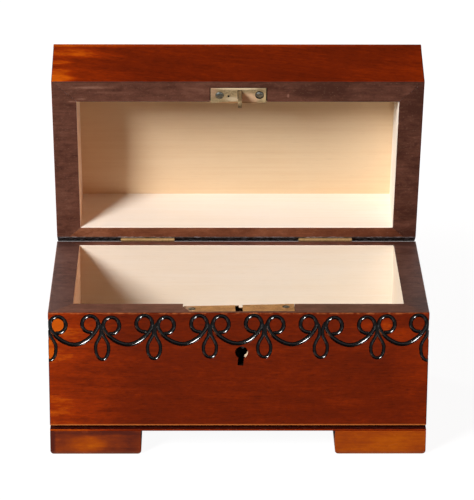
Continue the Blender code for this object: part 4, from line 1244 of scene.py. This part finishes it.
def make_strike():
    half = STRIKE_LENGTH / 2
    plate = add_block("strike", (-half, STRIKE_FRONT, 0), (half, STRIKE_BACK, STRIKE_THICKNESS), STRIKE_BRASS_PAINTED_LIGHT)
    soften(plate, STRIKE_ARRIS, ARRIS_STEPS)
    places = {}
    for end, (across, tip, sunk, slip) in STRIKE_SCREWS.items():
        spot = moved(across, STRIKE_SCREW_Y, sunk) @ turned(HALF, "X")
        for aside in sorted({0, slip}):
            carve(plate, sink_cutter(*STRIKE_SINK, LOCK_PAINTED_SHADE, spot @ moved(deep=aside)))
        places[f"strike_screw_{end}"] = STRIKE_PLACE @ spot @ (turned(tip, "X") @ turned(STRIKE_SPIN, "Z"))
    # The dent and the hook's mouth, like the countersinks, are cut with the near-black painted shade
    carve(plate, settle(turn_round("dent", DENT_PROFILE, LOCK_PAINTED_SHADE), moved(*DENT_SPOT) @ turned(HALF, "X")))
    room = HOOK_THICKNESS / 2 + HOOK_ROOM
    low = (HOOK_X - room, HOOK_FRONT - HOOK_ROOM, -OVERRUN)
    high = (HOOK_X + room, HOOK_BACK + HOOK_ROOM, HOOK_MOUTH_DEPTH)
    carve(plate, add_block("hook_mouth", low, high, LOCK_PAINTED_SHADE))
    fit(settle(plate, STRIKE_PLACE), "strike_plate", "lid")
    screw = make_screw("strike_screw", *STRIKE_SCREW, slotted=False)
    place_screws(screw, places, "lid")
    discard(screw)


def make_hook():
    """A flat hook with a round tip and an eye, riveted into the strike."""
    middle = (HOOK_FRONT + HOOK_BACK) / 2
    low = (HOOK_X - HOOK_THICKNESS / 2, HOOK_FRONT, -HOOK_DROP)
    hook = add_block("hook", low, (HOOK_X + HOOK_THICKNESS / 2, HOOK_BACK, -HOOK_SHOULDER), HOOK_BRASS_PAINTED_LIGHT_AND_SHADE)
    rounding = (HOOK_BACK - HOOK_FRONT) / 2 - HOOK_FLAT
    round_edges(hook, rounding, HOOK_STEPS, lambda spot, run: spot.z < -HOOK_DROP + OVERRUN
                and abs(run.x) > OVERRUN)
    pick(hook, "FACE", lambda spot, facing: facing.z > SQUARE_ON)
    for rise, share in HOOK_RIVET:
        extrude((0, 0, rise))
        bpy.ops.transform.resize(value=(1, share, 1), center_override=(HOOK_X, middle, 0))
    leave_edit()
    centre = Vector((HOOK_X, middle, HOOK_EYE_Z))
    reach = Vector((HOOK_THICKNESS, HOOK_EYE[0] / 2, HOOK_EYE[1] / 2))
    # The eye's faces take the near-black painted shade
    eye = add_block("eye", centre - reach, centre + reach, LOCK_PAINTED_SHADE)
    round_edges(eye, HOOK_EYE_ROUNDING, HOOK_EYE_STEPS, lambda spot, run: abs(run.x) > OVERRUN)
    carve(hook, eye)
    soften(hook, METAL_ARRIS)
    fit(settle(hook, STRIKE_PLACE), "strike_hook", "lid")


def add_knuckle(name, start, end, radius):
    return add_rod(name, radius, end - start, ((start + end) / 2, 0, 0), (0, QUARTER, 0), HINGE_BRASS)


def screw_spot(side, across):
    """The place of a screw on a leaf, which faces away from its board."""
    spot = moved(across, HINGE_SCREW_Y, side * LEAF_NEAR)
    return spot if side < 0 else spot @ turned(HALF, "X")


def make_hinge_half(side):
    """A leaf with its rolled knuckles: the box's has the end ones and the lid's the middle one."""
    low, high = sorted((side * LEAF_NEAR, side * LEAF_FAR))
    leaf = add_block("leaf", (-HINGE_HALF, 0, low), (HINGE_HALF, LEAF_WIDTH, high), HINGE_BRASS)
    round_edges(leaf, LEAF_ROUNDING, LEAF_STEPS, lambda middle, run: middle.y > LEAF_WIDTH - OVERRUN
                and abs(run.z) > OVERRUN / 3)
    combine(leaf, add_knuckle("barrel", -HINGE_HALF, HINGE_HALF, BARREL_RADIUS), "UNION")
    end = HINGE_HALF + OVERRUN
    gaps = [(-end, -KNUCKLE_HALF), (KNUCKLE_HALF, end)]
    if side < 0:
        gaps = [(-KNUCKLE_HALF - KNUCKLE_GAP, KNUCKLE_HALF + KNUCKLE_GAP)]
    for gap in gaps:
        carve(leaf, add_knuckle("knuckle_gap", *gap, BARREL_RADIUS + RECESS_GAP / 2))
    carve(leaf, add_knuckle("bore", -end, end, PIN_RADIUS + KNUCKLE_GAP / 4))
    for across in (-HINGE_SCREW_X, HINGE_SCREW_X):
        carve(leaf, sink_cutter(*HINGE_SINK, HINGE_BRASS, screw_spot(side, across)))
    return leaf


def make_hinges():
    screw = make_screw("hinge_screw", *HINGE_SCREW)
    tip, long = PIN_RADIUS * PIN_TIP, PIN_HALF - PIN_ARRIS
    profile = [(tip, PIN_HALF), (PIN_RADIUS, long), (PIN_RADIUS, -long), (tip, -PIN_HALF)]
    pin = turn_round("pin", profile, HINGE_BRASS, PIN_SIDES)
    for part, side, body in (("body", -1, "box_body"), ("lid", 1, "lid")):
        slope = moved(*HINGE) @ turned(CHAMFER_ANGLE - LID_OPEN_ANGLE if side > 0 else -CHAMFER_ANGLE, "X")
        half = make_hinge_half(side)
        for hand, centre in HINGE_PLACES.items():
            place = slope @ moved(centre)
            leaf = copy_piece(half, f"hinge_{hand}_{part}_half", place)
            fit(leaf, f"hinge_{hand}_{part}_leaf", body)
            place_screws(screw, {
                f"hinge_{hand}_{part}_screw_{end}": place @ screw_spot(side, across)
                for end, across in (("left", -HINGE_SCREW_X), ("right", HINGE_SCREW_X))
            }, body)
        discard(half)
    discard(screw)
    for hand, centre in HINGE_PLACES.items():
        place = moved(*HINGE) @ moved(centre) @ turned(QUARTER, "Y")
        fit(copy_piece(pin, f"hinge_{hand}_spindle", place), f"hinge_{hand}_pin", "box_body")
    discard(pin)


def dress_lock_works():
    """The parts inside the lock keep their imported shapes."""
    # The case, bolt and studs take the near-black painted shade
    dark_shade = ("lock_case", "lock_bolt", "lock_guide_stud_left", "lock_guide_stud_right")
    for look, nodes in ((LOCK_PAINTED_SHADE, dark_shade), (DARK_STEEL, ("lock_spring", "lock_key_pin"))):
        for node in nodes:
            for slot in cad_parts[node].material_slots:
                slot.material = look


# ---- studio

LAMPS = {
    # name: turn about the box from the front, rise, width and height, power and tone
    "key_lamp": (radians(-41.3), radians(29), (0.6, 0.8), 69, (1, 1, 1)),
    "warm_side_lamp": (radians(80), radians(8), (1, 1), 17, (1, 0.25, 0.08)),
    "back_lamp": (radians(233.24), radians(22), (0.8, 0.6), 18, (1, 1, 1)),
}
LAMP_DISTANCE = 2.4
AIM = Vector((0, 0.01, 0.09))
FILL = 0.03
FILL_TONE = (1, 0.65, 0.45, 1)
WHITE = (1, 1, 1, 1)
DARK_ROOM = 0.03
SWEEP_BACK = (0, 0.4)
SWEEP_TOP = (0.6, 0.35)
PAPER_SIZE = 6
PAPER_TONE = (0.12, 0.12, 0.12, 1)
PAPER_GLOW_NEAR = 0.945
PAPER_GLOW_REACH = (0.16, 0.6)
PAPER_GLOSS_NEAR = 0.04
PAPER_GLOSS_REACH = (0.4, 1.1)
CAMERA_SPOT = (-0.01931, -1.49305, 0.65455)
CAMERA_DOWN = radians(20.74)
CAMERA_YAW = radians(0.734)
CAMERA_ROLL = radians(0.267)
CAMERA_LENS = 210.8
CAMERA_SENSOR = 36
CAMERA_CLIP = 0.01


def empty_tray(owner):
    """The nodes of a paper or room, cleared."""
    owner.use_nodes = True
    owner.node_tree.nodes.clear()
    return Tray(owner.node_tree)


def seen_by(tray, *rays):
    """1 for these kinds of ray and 0 for the light that falls on the box."""
    path = tray.node("LightPath")
    seen = 0
    for ray in rays:
        seen = tray.sum("MAXIMUM", Wire(tray, path.socket.node.outputs[ray]), seen)
    return seen


def make_paper(floor):
    """White paper: to the camera it glows almost white, and a soft shadow stays on it."""
    paper = bpy.data.materials.new("white_paper")
    tray = empty_tray(paper)
    away = tray.vector("LENGTH", tray.node("TexCoord", output="Object"), output="Value")
    camera = PAPER_GLOW_NEAR + tray.fade(away, *PAPER_GLOW_REACH) * (1 - PAPER_GLOW_NEAR)
    gloss = PAPER_GLOSS_NEAR + tray.fade(away, *PAPER_GLOSS_REACH) * (1 - PAPER_GLOSS_NEAR)
    strength = seen_by(tray, "Is Camera Ray", "Is Transmission Ray") * camera
    strength = strength + seen_by(tray, "Is Glossy Ray") * gloss
    glow = tray.node("Emission", {}, {"Color": WHITE, "Strength": strength})
    dull = tray.node("BsdfDiffuse", {}, {"Color": PAPER_TONE})
    both = tray.node("AddShader", {}, {0: glow, 1: dull})
    tray.node("OutputMaterial", {}, {"Surface": both}, output=None)
    floor.data.materials.append(paper)


def make_room():
    """Warm weak light from all round. The camera sees white, and gloss a white sweep in a dark room."""
    world = bpy.data.worlds.new("studio")
    bpy.context.scene.world = world
    tray = empty_tray(world)
    towards = tray.node("TexCoord", output="Generated")
    sweep = tray.fade(tray.along(towards, "Y"), *SWEEP_BACK) * tray.fade(tray.along(towards, "Z"), *SWEEP_TOP)
    camera = seen_by(tray, "Is Camera Ray", "Is Transmission Ray")
    gloss = seen_by(tray, "Is Glossy Ray")
    fill = tray.node("Background", {}, {
        "Color": FILL_TONE, "Strength": (1 - tray.sum("MAXIMUM", camera, gloss)) * FILL,
    })
    white = tray.node("Background", {}, {
        "Color": WHITE, "Strength": camera + gloss * (DARK_ROOM + sweep * (1 - DARK_ROOM)),
    })
    both = tray.node("AddShader", {}, {0: fill, 1: white})
    tray.node("OutputWorld", {}, {"Surface": both}, output=None)


def hang_lamp(name, turn, rise, size, power, tone):
    """A soft lamp that faces the box."""
    lamp = bpy.data.lights.new(name, "AREA")
    lamp.shape = "RECTANGLE"
    lamp.size, lamp.size_y = size
    lamp.energy = power
    lamp.color = tone
    lit = bpy.data.objects.new(name, lamp)
    bpy.context.scene.collection.objects.link(lit)
    towards = Vector((sin(turn) * cos(rise), -cos(turn) * cos(rise), sin(rise)))
    lit.location = AIM + towards * LAMP_DISTANCE
    lit.rotation_euler = towards.to_track_quat("Z", "Y").to_euler()


def make_studio():
    bpy.ops.mesh.primitive_plane_add(size=PAPER_SIZE, location=(0, 0, 0))
    floor = bpy.context.object
    floor.name = "pale_floor"
    make_paper(floor)
    make_room()
    for name, settings in LAMPS.items():
        hang_lamp(name, *settings)

    camera = bpy.data.objects.new("camera", bpy.data.cameras.new("camera"))
    bpy.context.scene.collection.objects.link(camera)
    camera.data.lens = CAMERA_LENS
    camera.data.sensor_width = CAMERA_SENSOR
    camera.data.clip_start = CAMERA_CLIP
    camera.matrix_world = (
        moved(*CAMERA_SPOT) @ turned(-CAMERA_YAW, "Z") @ turned(QUARTER - CAMERA_DOWN, "X")
        @ turned(CAMERA_ROLL, "Z")
    )
    bpy.context.scene.camera = camera
    bpy.context.scene.view_settings.view_transform = "Standard"


make_box_walls()
make_lid_walls()
make_lid_board()
make_bottom_board()
make_feet()
make_lock()
make_strike()
make_hook()
make_hinges()
dress_lock_works()
make_studio()
